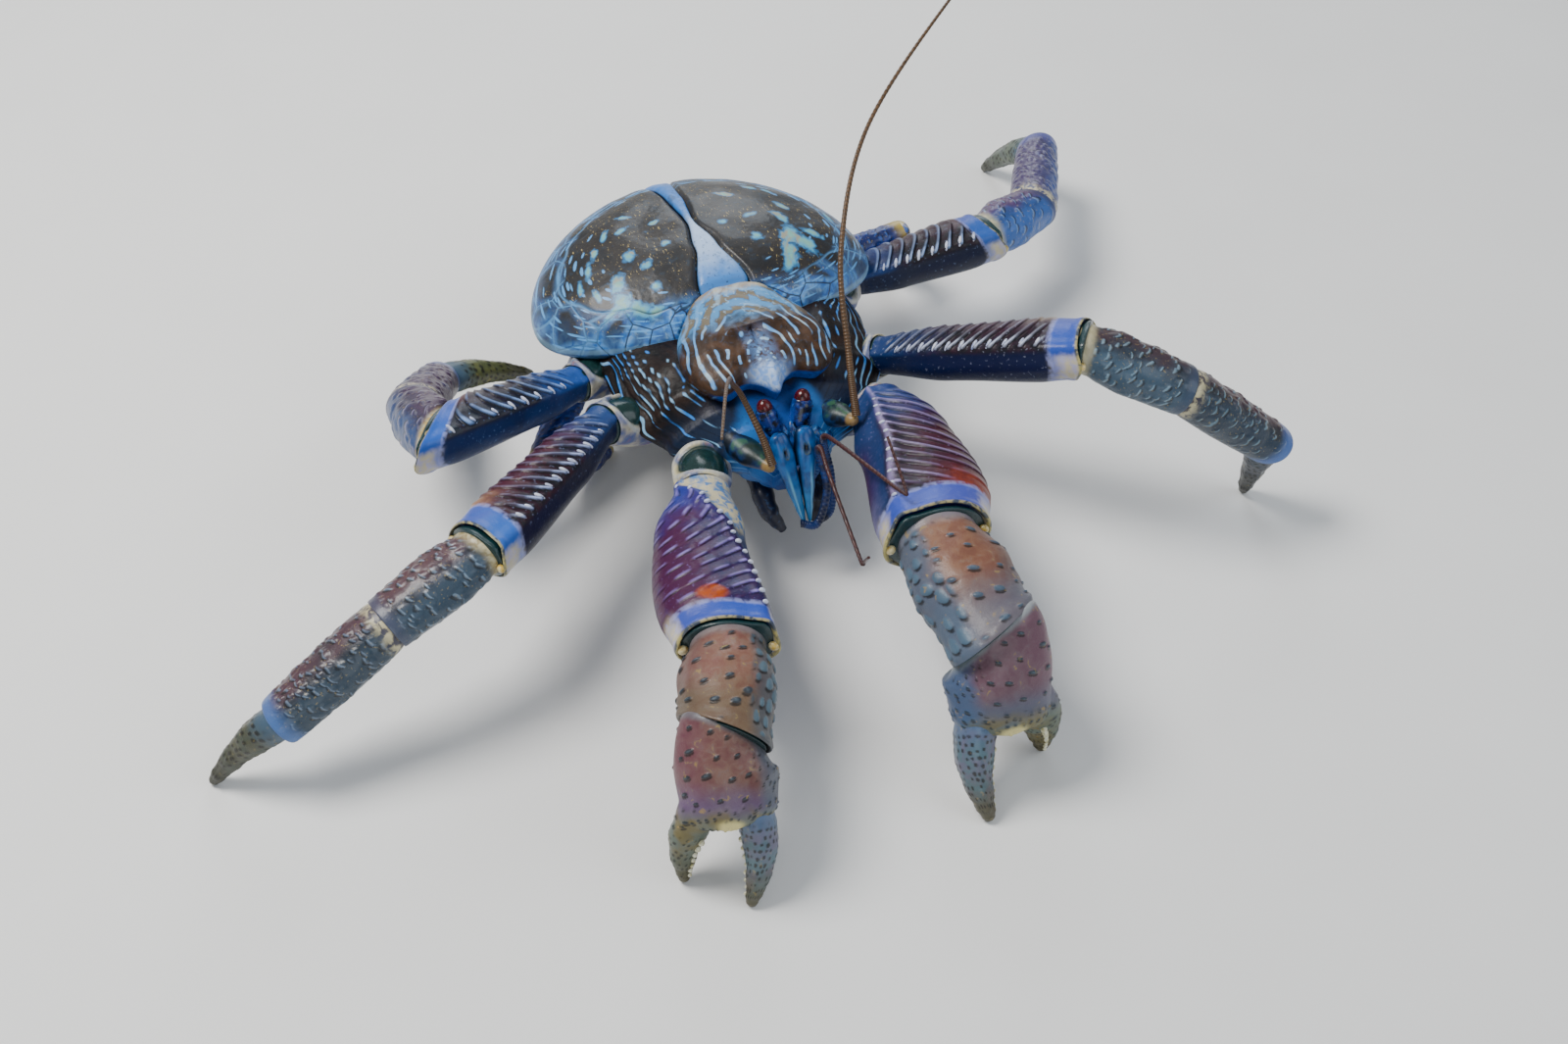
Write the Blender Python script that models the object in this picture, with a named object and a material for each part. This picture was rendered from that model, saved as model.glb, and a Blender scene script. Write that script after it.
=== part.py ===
"""Coconut crab (Birgus latro), a still, life-size model that walks on a flat floor.

The crab faces -Y, its left side is +X and the floor is z = 0. Sizes are in millimetres times MM.
Each limb is a chain of links. A link is a loft with rounded ends, and two links that meet are cut
along the plane that halves their bend, so that they stand face to face with a thin gap.
"""

import math
import random

import bmesh
import bpy
from mathutils import Matrix, Vector
from mathutils.bvhtree import BVHTree

MM = 0.001
GAP = 0.3 * MM
UP = Vector((0.0, 0.0, 1.0))
SIDES = {"right": -1.0, "left": 1.0}

# The crab is drawn about the middle of its carapace, then moved so that its box is centred
STANCE_SHIFT = Vector((18.5, 59.5, 0.0)) * MM

# Carapace: two gill domes with a narrow heart plate between them
CARAPACE_HALF_WIDTH = 60.5
CARAPACE_WIDEST_Y = 5.0
CARAPACE_REAR_REACH = 48.0
CARAPACE_FRONT_REACH = 34.0
CARAPACE_TOP_Z = 72.0
RIM_SIDE_Z = 46.0
RIM_END_RISE = 11.0

# Front shield with the beak between the eyes: half outline, from the rear middle to the beak
SHIELD_OUTLINE = [
    (0.0, -17.5), (11.5, -20.0), (20.0, -27.0), (24.0, -36.0), (25.0, -46.0),
    (23.0, -55.0), (17.0, -60.5), (9.0, -57.5), (4.0, -60.0), (0.0, -65.0),
]
SHIELD_CENTRE_Y = -40.0
SHIELD_TOP_Z = 66.5
SHIELD_MARGIN_Z = 57.5

# Limbs: half sizes are (fore and aft, up and down)
CLAW_GROWTH = {"right": 1.0, "left": 1.12}
HIPS = {
    "claw": (23.0, -53.0, 33.0),
    "second": (33.0, -36.0, 34.0),
    "third": (38.0, -8.0, 35.0),
    "fourth": (34.0, 17.0, 33.0),
}
LINK_LENGTHS = {
    "claw": (67.0, 33.5, 25.0, 25.5),
    "second": (75.0, 35.0, 42.5, 32.5),
    "third": (55.5, 31.0, 45.0, 39.0),
    "fourth": (36.0, 19.0, 22.0),
}
# Reach of the base from the hip, then each link's heading from +X and its rise, in degrees
POSE = {
    ("claw", "right"): (32.4, [(-109, 13), (-104, 2), (-113, -1), (-105, -50), (-87, None)]),
    ("claw", "left"): (18.6, [(-48, 20), (-100, 10), (-87, -10), (-98, -62), (-123, None)]),
    ("second", "right"): (24.4, [(-159, 25), (-138, 7), (-163, -15), (-169, -28), (168, None)]),
    ("second", "left"): (18.9, [(-42, 33), (-47, 22), (-32, -21), (-14, -40), (81, None)]),
    ("third", "right"): (21.1, [(-147, 19), (-161, 9), (92, -20), (65, -30), (15, None)]),
    ("third", "left"): (21.0, [(39, -1), (2, 3), (28, -9), (61, -7), (103, None)]),
    ("fourth", "right"): (24.0, [(-128, -9), (-128, -9), (20, -48), (40, None)]),
    ("fourth", "left"): (13.0, [(8, 2), (8, 2), (60, -52), (110, None)]),
}
TIP_Z = 1.7

# Faces that lie within this angle of each other count as one
FLAT_ANGLE = math.radians(0.4)


def mm(x, y, z):
    return Vector((x, y, z)) * MM


def heading(turn, rise):
    """Unit vector, turn degrees anticlockwise from +X as seen from above and rise degrees up."""
    t = math.radians(turn)
    r = math.radians(rise)
    return Vector((math.cos(t) * math.cos(r), math.sin(t) * math.cos(r), math.sin(r)))


# Scene, collections and materials

for old in list(bpy.data.objects):
    bpy.data.objects.remove(old, do_unlink=True)

CRAB = bpy.data.collections.new("coconut_crab")
CUTTERS = bpy.data.collections.new("cutters")
bpy.context.scene.collection.children.link(CRAB)
bpy.context.scene.collection.children.link(CUTTERS)

FINISHES = {
    "carapace": ((0.05, 0.08, 0.11), 0.30),
    "shield": ((0.14, 0.15, 0.16), 0.32),
    "flank": ((0.03, 0.04, 0.06), 0.45),
    "soft": ((0.22, 0.20, 0.24), 0.60),
    "limb": ((0.09, 0.08, 0.17), 0.35),
    "base": ((0.45, 0.42, 0.30), 0.42),
    "claw": ((0.26, 0.15, 0.15), 0.45),
    "finger": ((0.20, 0.22, 0.14), 0.50),
    "eye": ((0.10, 0.02, 0.05), 0.15),
    "blade": ((0.02, 0.16, 0.38), 0.28),
    "feeler": ((0.13, 0.06, 0.04), 0.50),
}


def make_material(name):
    colour, roughness = FINISHES[name]
    material = bpy.data.materials.new(name)
    material.use_nodes = True
    shader = material.node_tree.nodes["Principled BSDF"]
    shader.inputs["Base Color"].default_value = (*colour, 1.0)
    shader.inputs["Roughness"].default_value = roughness
    shader.inputs["Metallic"].default_value = 0.0
    return material


MATERIALS = {name: make_material(name) for name in FINISHES}


def place(name, bm, finish, collection=CRAB):
    """Turn a bmesh into a named object of triangles, so that every copy folds along the same edges."""
    bmesh.ops.triangulate(bm, faces=bm.faces)
    bmesh.ops.recalc_face_normals(bm, faces=bm.faces)
    mesh = bpy.data.meshes.new(name)
    bm.to_mesh(mesh)
    bm.free()
    piece = bpy.data.objects.new(name, mesh)
    collection.objects.link(piece)
    mesh.materials.append(MATERIALS[finish])
    return piece


# Shaping tools

def loft(rings):
    """Skin a row of rings of equal count. A ring of one point is a tip, and open ends are capped."""
    bm = bmesh.new()
    rows = [[bm.verts.new(point) for point in ring] for ring in rings]
    for near, far in zip(rows, rows[1:]):
        count = max(len(near), len(far))
        for i in range(count):
            j = (i + 1) % count
            if len(near) == 1:
                bm.faces.new((near[0], far[i], far[j]))
            elif len(far) == 1:
                bm.faces.new((near[i], near[j], far[0]))
            else:
                bm.faces.new((near[i], near[j], far[j], far[i]))
    for row in (rows[0], rows[-1]):
        if len(row) > 1:
            bm.faces.new(row)
    bmesh.ops.recalc_face_normals(bm, faces=bm.faces)
    return bm


def cut(bm, point, normal):
    """Take away what lies beyond a plane and close the mouth with a flat face."""
    geometry = bm.verts[:] + bm.edges[:] + bm.faces[:]
    found = bmesh.ops.bisect_plane(
        bm, geom=geometry, dist=1e-6, plane_co=point, plane_no=normal, clear_outer=True)
    rim = [e for e in found["geom_cut"] if isinstance(e, bmesh.types.BMEdge)]
    if rim:
        bmesh.ops.holes_fill(bm, edges=rim, sides=0)
    bmesh.ops.recalc_face_normals(bm, faces=bm.faces)


def ease(rows, t):
    """Read rows of (t, value, value, ...) at t, with smooth turns between the rows."""
    if t <= rows[0][0]:
        return rows[0][1:]
    for a, b in zip(rows, rows[1:]):
        if t <= b[0]:
            k = (t - a[0]) / (b[0] - a[0])
            k = k * k * (3.0 - 2.0 * k)
            return tuple(p + (q - p) * k for p, q in zip(a[1:], b[1:]))
    return rows[-1][1:]


def curve_points(points, count):
    """Even samples of a smooth curve through the given points."""
    padded = [2 * points[0] - points[1], *points, 2 * points[-1] - points[-2]]
    samples = []
    for i in range(count):
        s = i / (count - 1) * (len(points) - 1)
        k = min(int(s), len(points) - 2)
        t = s - k
        a, b, c, d = padded[k:k + 4]
        samples.append(0.5 * (2 * b + (c - a) * t + (2 * a - 5 * b + 4 * c - d) * t ** 2
                              + (3 * b - a - 3 * c + d) * t ** 3))
    return samples


def apply_boolean(piece, operation, cutter=None, collection=None):
    """Run one Boolean on a piece, with one cutter or a collection of them, and keep the result."""
    step = piece.modifiers.new("boolean", "BOOLEAN")
    step.operation = operation
    step.solver = "EXACT"
    if collection:
        step.operand_type = "COLLECTION"
        step.collection = collection
    else:
        step.object = cutter
    bpy.context.view_layer.update()
    graph = bpy.context.evaluated_depsgraph_get()
    result = bpy.data.meshes.new_from_object(piece.evaluated_get(graph))
    piece.modifiers.clear()
    piece.data = result


def keep_largest(piece):
    """Keep only the largest closed surface of a piece, with no more triangles than it needs."""
    bm = bmesh.new()
    bm.from_mesh(piece.data)
    bmesh.ops.remove_doubles(bm, verts=bm.verts, dist=1e-6)
    bmesh.ops.dissolve_degenerate(bm, edges=bm.edges, dist=1e-6)
    left = set(bm.verts)
    islands = []
    while left:
        stack = [left.pop()]
        island = set(stack)
        while stack:
            for edge in stack.pop().link_edges:
                for vert in edge.verts:
                    if vert in left:
                        left.remove(vert)
                        island.add(vert)
                        stack.append(vert)
        spans = [max(v.co[i] for v in island) - min(v.co[i] for v in island) for i in range(3)]
        islands.append((spans[0] * spans[1] * spans[2], island))
    islands.sort(key=lambda entry: entry[0], reverse=True)
    scraps = [vert for entry in islands[1:] for vert in entry[1]]
    bmesh.ops.delete(bm, geom=scraps, context="VERTS")
    bmesh.ops.dissolve_limit(bm, angle_limit=FLAT_ANGLE, verts=bm.verts, edges=bm.edges)
    bmesh.ops.triangulate(bm, faces=bm.faces)
    bm.to_mesh(piece.data)
    bm.free()


def grown(piece):
    """A copy of a piece whose faces all stand out by GAP, to cut its neighbours with."""
    bm = bmesh.new()
    bm.from_mesh(piece.data)
    bmesh.ops.recalc_face_normals(bm, faces=bm.faces)
    moves = [(v, v.normal * GAP * min(v.calc_shell_factor(), 2.0)) for v in bm.verts]
    for vert, move in moves:
        vert.co += move
    cutter = place(piece.name + "_cutter", bm, "flank", CUTTERS)
    cutter.hide_render = True
    cutter.display_type = "WIRE"
    return cutter


def clear_of(piece, *neighbours):
    """Cut a piece back until it stands GAP clear of its neighbours."""
    for neighbour in neighbours:
        cutter = grown(neighbour)
        apply_boolean(piece, "DIFFERENCE", cutter)
        bpy.data.objects.remove(cutter)
    keep_largest(piece)
    return piece


# Limb links

CREST_ANGLE = 50.0
TERRACE_SPAN = 0.62
TERRACE_SLANT = 0.7
CONE_SIDES = 4
CONE_ROOT = 0.6
CONE_ROOT_SHARE = 0.45
CONE_FOOT_WIDTH = 1.25
CONE_TIP_WIDTH = 0.12
TUBERCLE_TEST_REACH = 12.0


def cross_axes(direction, side):
    """The forward and the upward direction across a limb that points along direction."""
    up = (UP - direction * direction.dot(UP)).normalized()
    front = direction.cross(up) * side
    return front, up


def section(centre, front, up, half_front, half_up, crest=0.0, count=12):
    """Oval ring from the crest, between the front and the top, over the top to the rear and round."""
    ring = []
    for i in range(count):
        angle = math.radians(CREST_ANGLE - 360.0 * i / count)
        reach = 1.0 / math.hypot(math.sin(angle) / half_front, math.cos(angle) / half_up)
        if i == 0:
            reach *= 1.0 + crest
        ring.append(centre + (front * math.sin(angle) + up * math.cos(angle)) * reach)
    return ring


def dome_rows(size, inwards):
    """Shift and scale of the rings that round off the end of a link."""
    steps = [(-size * math.sin(math.radians(a)), math.cos(math.radians(a))) for a in (72, 48, 24)]
    return steps if inwards else [(-shift, scale) for shift, scale in reversed(steps)]


def link(start, end, side, rows, count=12, crest=0.0, ridges=0, lift=0.0, bow=None, round_end=True):
    """Loft of one limb link from start to end.

    rows are (t, half size fore and aft, half size up and down) in millimetres. ridges are the
    slanting terraces over the back of a link: each rises by lift and then drops.
    """
    length = (end - start).length
    direction = (end - start) / length
    front, up = cross_axes(direction, side)
    stops = []
    first = ease(rows, 0.0)
    for shift, scale in dome_rows(min(first) * MM, True):
        stops.append((shift / length, scale, 0.0))
    if ridges:
        stops.append((0.0, 1.0, 0.0))
        for k in range(ridges):
            peak = 0.12 + 0.70 * (k + 1) / ridges
            stops.append((peak, 1.0, lift))
            stops.append((peak + 0.012, 1.0, 0.0))
        stops += [(0.90, 1.0, 0.0), (1.0, 1.0, 0.0)]
    else:
        stops += [(row[0], 1.0, 0.0) for row in rows]
    if round_end:
        last = ease(rows, 1.0)
        for shift, scale in dome_rows(min(last) * MM, False):
            stops.append((1.0 + shift / length, scale, 0.0))
    rings = []
    for t, scale, raised in stops:
        half_front, half_up = ease(rows, min(max(t, 0.0), 1.0))
        centre = start + direction * (t * length)
        if bow:
            centre += bow * (math.sin(math.pi * min(max(t, 0.0), 1.0)) * MM)
        ring = section(centre, front, up, half_front * scale * MM, half_up * scale * MM, crest, count)
        if ridges:
            for i, point in enumerate(ring):
                # The terraces cover the top and the rear side, and run aslant towards the tip
                round_share = min(i / (TERRACE_SPAN * count), 1.0)
                inner = min(1.0, max(0.0, t * (1.0 - t) * 8.0))
                point += (point - centre).normalized() * raised * math.sin(math.pi * round_share) * MM
                slant = math.sin(math.pi * i / count)
                point += direction * slant * inner * half_front * TERRACE_SLANT * MM
        rings.append(ring)
    return loft(rings)


def stud(piece, spots):
    """Fuse small cones to a piece. A spot is an inner point, a way out, and a radius and height."""
    bm = bmesh.new()
    bm.from_mesh(piece.data)
    surface = BVHTree.FromBMesh(bm)
    bm.free()
    cones = bpy.data.collections.new("cones")
    bpy.context.scene.collection.children.link(cones)
    for start, way, lean, radius, height in spots:
        hit = surface.ray_cast(start, way)[0]
        if hit is None:
            continue
        axis = (way + lean).normalized()
        root = CONE_ROOT_SHARE * height + CONE_ROOT * MM
        turn = UP.rotation_difference(axis).to_matrix().to_4x4()
        middle = hit + axis * ((height - root) / 2)
        cone = bmesh.new()
        bmesh.ops.create_cone(cone, cap_ends=True, segments=CONE_SIDES, radius1=radius * CONE_FOOT_WIDTH,
                              radius2=radius * CONE_TIP_WIDTH, depth=height + root,
                              matrix=Matrix.Translation(middle) @ turn)
        place("cone", cone, "limb", cones)
    apply_boolean(piece, "UNION", collection=cones)
    for cone in list(cones.objects):
        bpy.data.objects.remove(cone)
    bpy.data.collections.remove(cones)
    keep_largest(piece)


def crest_spots(start, end, side, count, radius, height, span=(0.14, 0.88), angle=CREST_ANGLE, bow=None):
    """A row of teeth along one line of a link, leaning towards its tip."""
    direction = (end - start).normalized()
    front, up = cross_axes(direction, side)
    a = math.radians(angle)
    way = front * math.sin(a) + up * math.cos(a)
    spots = []
    for k in range(count):
        t = span[0] + (span[1] - span[0]) * k / (count - 1)
        inner = start.lerp(end, t)
        if bow:
            inner = inner + bow * (math.sin(math.pi * t) * MM)
        size = 1.0 - 0.25 * abs(2.0 * k / (count - 1) - 1.0)
        spots.append((inner, way, direction * 0.45, radius * size * MM, height * size * MM))
    return spots


def scatter_spots(points, k, side, rows, radius, height, draw, near=None, far=None):
    """Tubercles in staggered rows over the top of link k, clear of the planes at both its ends.

    rows are (first angle, last angle, count, t) from the rear side over the top to the front.
    """
    start, end = points[k], points[k + 1]
    direction = (end - start).normalized()
    front, up = cross_axes(direction, side)
    near = near or mitre(points, k)
    far = far or (mitre(points, k + 1) if k + 2 < len(points) else direction)
    spots = []
    for first, last, count, t in rows:
        for i in range(count):
            a = math.radians(first + (last - first) * (i + 0.5 * draw.random()) / count)
            way = front * math.sin(a) + up * math.cos(a)
            inner = start.lerp(end, t + 0.03 * (draw.random() - 0.5))
            size = 0.85 + 0.4 * draw.random()
            reach = inner + way * TUBERCLE_TEST_REACH * MM
            margin = (radius * size + 1.2) * MM
            if (reach - start).dot(near) < margin or (end - reach).dot(far) < margin:
                continue
            spots.append((inner, way, direction * 0.35, radius * size * MM, height * size * MM))
    return spots


def joints_of(kind, side_name):
    """Points of a limb's chain, from the hip to the tip."""
    side = SIDES[side_name]
    hip = HIPS[kind]
    reach, turns = POSE[(kind, side_name)]
    growth = CLAW_GROWTH[side_name] if kind == "claw" else 1.0
    points = [mm(hip[0] * side, hip[1], hip[2])]
    lengths = [reach] + [length * growth for length in LINK_LENGTHS[kind]]
    for (turn, rise), length in zip(turns, lengths):
        if rise is None:
            fall = TIP_Z * MM - points[-1].z
            rise = math.degrees(math.asin(fall / (length * MM)))
        points.append(points[-1] + heading(turn, rise) * length * MM)
    return points


def mitre(points, k):
    """Plane normal that halves the bend at joint k of a chain."""
    before = (points[k] - points[k - 1]).normalized()
    after = (points[k + 1] - points[k]).normalized()
    return (before + after).normalized()


def cut_link(bm, points, k):
    """Cut link k of a chain along the planes of the joints at its two ends."""
    if k > 0:
        normal = mitre(points, k)
        cut(bm, points[k] + normal * GAP / 2, -normal)
    if k + 2 < len(points):
        normal = mitre(points, k + 1)
        cut(bm, points[k + 1] - normal * GAP / 2, normal)


# Body

THORAX_STATIONS = [
    # y, top, shoulder x z, widest x z, flank edge x z, wall top x z, wall foot x z, underside
    (-80.0, 39.0, 5.0, 38.5, 8.0, 36.0, 8.5, 33.0, 7.5, 31.0, 6.0, 29.5, 29.0),
    (-75.0, 45.0, 9.0, 44.0, 14.0, 40.0, 14.5, 36.0, 12.0, 32.5, 9.0, 28.5, 27.5),
    (-68.0, 49.0, 14.0, 48.5, 25.0, 42.0, 26.0, 36.5, 17.5, 33.5, 13.0, 27.0, 26.0),
    (-60.0, 53.0, 20.0, 52.5, 34.0, 44.0, 35.5, 38.0, 21.0, 36.0, 17.0, 26.0, 25.0),
    (-50.0, 55.5, 25.5, 56.0, 39.5, 46.0, 41.5, 40.0, 26.0, 38.0, 20.0, 25.5, 24.5),
    (-36.0, 56.0, 26.0, 57.0, 42.0, 47.5, 44.0, 41.5, 32.0, 39.0, 25.0, 25.5, 24.5),
    (-20.0, 56.0, 30.0, 55.0, 43.0, 48.5, 45.0, 42.5, 36.0, 40.0, 29.0, 26.5, 25.5),
    (4.0, 56.0, 34.0, 53.0, 43.5, 47.5, 45.0, 42.5, 38.0, 40.5, 30.0, 28.0, 27.0),
    (24.0, 54.0, 30.0, 51.0, 38.0, 47.0, 39.0, 43.0, 33.0, 41.0, 26.0, 30.0, 29.0),
    (37.0, 52.0, 22.0, 50.0, 28.0, 47.0, 28.5, 44.0, 24.0, 42.0, 18.0, 33.0, 32.0),
    (46.0, 50.0, 13.0, 48.5, 16.0, 46.5, 16.0, 44.5, 14.0, 43.0, 10.0, 38.0, 37.0),
]


def make_thorax():
    rings = []
    for y, top, *pairs, bottom in THORAX_STATIONS:
        half = list(zip(pairs[0::2], pairs[1::2]))
        ring = [mm(0, y, top)] + [mm(x, y, z) for x, z in half]
        ring += [mm(0, y, bottom)] + [mm(-x, y, z) for x, z in reversed(half)]
        rings.append(ring)
    return place("thorax", loft(rings), "flank")


def make_shield():
    """Front shield: rings of its outline that shrink towards the crown."""
    half = SHIELD_OUTLINE
    outline = half + [(-x, y) for x, y in reversed(half[1:-1])]

    def ring(scale, rise, drop=0.0):
        points = []
        for x, y in outline:
            far = (SHIELD_CENTRE_Y - y) / 25.0
            edge = SHIELD_MARGIN_Z + (5.5 if y > -22 else 0.0) * (1.0 - abs(x) / 24.0)
            crown = SHIELD_TOP_Z - 2.5 * max(0.0, far * (1.0 - 0.3 * scale))
            z = edge + (crown - edge) * rise - drop
            points.append(mm(x * scale, SHIELD_CENTRE_Y + (y - SHIELD_CENTRE_Y) * scale, z))
        return points

    rings = [[mm(0, SHIELD_CENTRE_Y, 50.0)], ring(0.86, 0.0, 8.0), ring(0.97, 0.0, 2.2), ring(1.0, 0.0)]
    for scale in (0.93, 0.80, 0.60, 0.32):
        rings.append(ring(scale, (1.0 - scale ** 3.0) ** 0.5))
    rings.append([mm(0, SHIELD_CENTRE_Y, SHIELD_TOP_Z)])
    return place("gastric_shield", loft(rings), "shield")


def carapace_ring(scale, rise, drop=0.0, count=32):
    points = []
    for i in range(count):
        angle = 2.0 * math.pi * (i + 0.5) / count
        reach = CARAPACE_REAR_REACH if math.sin(angle) > 0 else CARAPACE_FRONT_REACH
        x = CARAPACE_HALF_WIDTH * math.cos(angle) * scale
        y = CARAPACE_WIDEST_Y + reach * math.sin(angle) * scale
        edge = RIM_SIDE_Z + RIM_END_RISE * math.sin(angle) ** 2
        z = edge + (CARAPACE_TOP_Z - edge) * rise - drop
        points.append(mm(x, y, z))
    return points


def make_carapace():
    """Gill domes: one wide dome, parted by the hourglass of the heart plate."""
    rings = [[mm(0, CARAPACE_WIDEST_Y, 40.0)], carapace_ring(0.72, 0.0, 8.5),
             carapace_ring(0.90, 0.0, 7.0), carapace_ring(0.98, 0.0, 3.4), carapace_ring(1.0, 0.02)]
    for scale in (0.95, 0.84, 0.68, 0.48, 0.25):
        rings.append(carapace_ring(scale, (1.0 - scale ** 2.3) ** 0.62))
    rings.append([mm(0, CARAPACE_WIDEST_Y, CARAPACE_TOP_Z)])
    return place("carapace", loft(rings), "carapace")


HEART_ROWS = [
    # y, right edge, left edge
    (-40.0, -9.5, 9.5), (-18.0, -9.5, 8.5), (0.0, -4.5, 3.5), (13.0, -2.2, 0.2), (30.0, -3.5, 2.0),
    (60.0, -6.0, 4.5),
]
HEART_WAIST_X = -1.2


def heart_cutter(margin):
    """Upright prism of the heart plate's hourglass outline, wider by margin on both sides."""
    rings = []
    for z in (20.0, 90.0):
        right = [mm(x - margin, y, z) for y, x, other in HEART_ROWS]
        left = [mm(x + margin, y, z) for y, other, x in reversed(HEART_ROWS)]
        rings.append(right + left)
    cutter = place("heart_cutter", loft(rings), "carapace", CUTTERS)
    cutter.hide_render = True
    cutter.display_type = "WIRE"
    return cutter


def copy_piece(piece, name):
    twin = bpy.data.objects.new(name, piece.data.copy())
    CRAB.objects.link(twin)
    return twin


def split_carapace(carapace):
    """Part the wide dome into the two gill domes and the heart plate."""
    heart = copy_piece(carapace, "cardiac_plate")
    cutter = heart_cutter(0.0)
    apply_boolean(heart, "INTERSECT", cutter)
    keep_largest(heart)
    bpy.data.objects.remove(cutter)
    domes = []
    for name, side in SIDES.items():
        dome = copy_piece(carapace, "branchial_" + name)
        cutter = heart_cutter(GAP / MM)
        apply_boolean(dome, "DIFFERENCE", cutter)
        bpy.data.objects.remove(cutter)
        bm = bmesh.new()
        bm.from_mesh(dome.data)
        other_half = [v for v in bm.verts if (v.co.x - HEART_WAIST_X * MM) * side < 0]
        bmesh.ops.delete(bm, geom=other_half, context="VERTS")
        bm.to_mesh(dome.data)
        bm.free()
        keep_largest(dome)
        domes.append(dome)
    bpy.data.objects.remove(carapace)
    return heart, domes


# Abdomen: a soft sac that hangs behind the carapace and curls under, with hard plates on its back

ABDOMEN_LINE = [(37.0, 39.5), (53.0, 34.5), (62.0, 26.0), (60.0, 17.5), (48.0, 13.0), (35.0, 12.5)]
ABDOMEN_HALF_SIZES = [(24.0, 7.0), (33.0, 11.0), (36.0, 13.0), (33.0, 11.5), (24.0, 8.0), (12.0, 4.0)]
ABDOMEN_RINGS = 13
PLATE_RINGS = [(2, 4), (4, 6), (6, 8), (8, 10)]
PLATE_STAND_OFF = 0.45
PLATE_THICKNESS = 1.4


def abdomen_frame(s):
    """Centre, outward direction and half sizes of the abdomen at s along its bent line."""
    line = [Vector((0.0, y, z)) for y, z in ABDOMEN_LINE]
    sizes = [Vector((a, b, 0.0)) for a, b in ABDOMEN_HALF_SIZES]
    steps = 500
    fine = curve_points(line, steps + 1)
    size = curve_points(sizes, steps + 1)
    k = min(int(round(s * steps)), steps)
    ahead = fine[min(k + 1, steps)] - fine[max(k - 1, 0)]
    out = Vector((0.0, -ahead.z, ahead.y)).normalized()
    return fine[k], out, size[k].x, size[k].y


def abdomen_point(s, angle, stand_off=0.0):
    centre, out, half_width, half_depth = abdomen_frame(s)
    a = math.radians(angle)
    across = Vector((math.sin(a), 0.0, 0.0)) * (half_width + stand_off)
    return (centre + across + out * math.cos(a) * (half_depth + stand_off)) * MM


def make_abdomen():
    rings = []
    for k in range(ABDOMEN_RINGS + 1):
        rings.append([abdomen_point(k / ABDOMEN_RINGS, 22.5 * i) for i in range(16)])
    return place("abdomen", loft(rings), "soft")


def make_abdomen_plate(name, first, last):
    """Curved plate over the back of the abdomen, on the same rings as the skin beneath it."""
    rings = []
    for k in range(first, last + 1):
        inset = {first: 0.006, last: -0.006}.get(k, 0.0)
        s = k / ABDOMEN_RINGS + inset
        angles = [-67.5 + 22.5 * i for i in range(7)]
        outer = [abdomen_point(s, a, PLATE_STAND_OFF + PLATE_THICKNESS) for a in angles]
        inner = [abdomen_point(s, a, PLATE_STAND_OFF) for a in reversed(angles)]
        rings.append(outer + inner)
    return place(name, loft(rings), "carapace")


def make_telson(abdomen):
    start = mm(0, 36.5, 12.5)
    end = mm(0, 22.0, 12.5)
    bm = link(start, end, 1.0, [(0.0, 8.5, 2.6), (0.6, 8.0, 2.2), (1.0, 5.0, 1.6)], count=10)
    cut(bm, start + mm(0, -0.5, 0), mm(0, 1000, 0))
    return clear_of(place("telson", bm, "carapace"), abdomen)


# Head

def make_eye(name, side):
    root = mm(4.6 * side, -68.5, 47.0)
    tip = mm(7.6 * side, -63.5, 55.0)
    rows = [(0.0, 3.6, 3.8), (0.6, 3.4, 3.4), (0.8, 3.1, 3.2), (1.0, 2.4, 2.4)]
    return place(name, link(root, tip, side, rows, count=10), "eye")


def make_blade(name, side):
    """First link of the antennule: a flat blade that hangs in front of the mouth."""
    root = mm(3.5 * side, -77.0, 46.5)
    tip = mm(3.0 * side, -88.5, 24.0)
    rows = [(0.0, 2.7, 3.6), (0.15, 3.1, 4.0), (0.55, 2.9, 3.2), (0.85, 1.9, 2.2), (1.0, 0.9, 1.2)]
    return place(name, link(root, tip, side, rows, count=10), "blade")


def make_tube(name, points, radii, finish, samples=18, resolution=1):
    """Thin round feeler along a smooth curve, tapering through the given radii."""
    path = curve_points([mm(*p) for p in points], samples)
    curve = bpy.data.curves.new(name, "CURVE")
    curve.dimensions = "3D"
    curve.bevel_depth = MM
    curve.bevel_resolution = resolution
    curve.use_fill_caps = True
    spline = curve.splines.new("POLY")
    spline.points.add(samples - 1)
    for i, point in enumerate(path):
        spline.points[i].co = (*point, 1.0)
        spline.points[i].radius = ease(radii, i / (samples - 1))[0]
    curve.materials.append(MATERIALS[finish])
    piece = bpy.data.objects.new(name, curve)
    CRAB.objects.link(piece)
    bpy.context.view_layer.update()
    graph = bpy.context.evaluated_depsgraph_get()
    mesh = bpy.data.meshes.new_from_object(piece.evaluated_get(graph))
    bpy.data.objects.remove(piece)
    bm = bmesh.new()
    bm.from_mesh(mesh)
    bmesh.ops.remove_doubles(bm, verts=bm.verts, dist=1e-6)
    return place(name, bm, finish)


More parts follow.
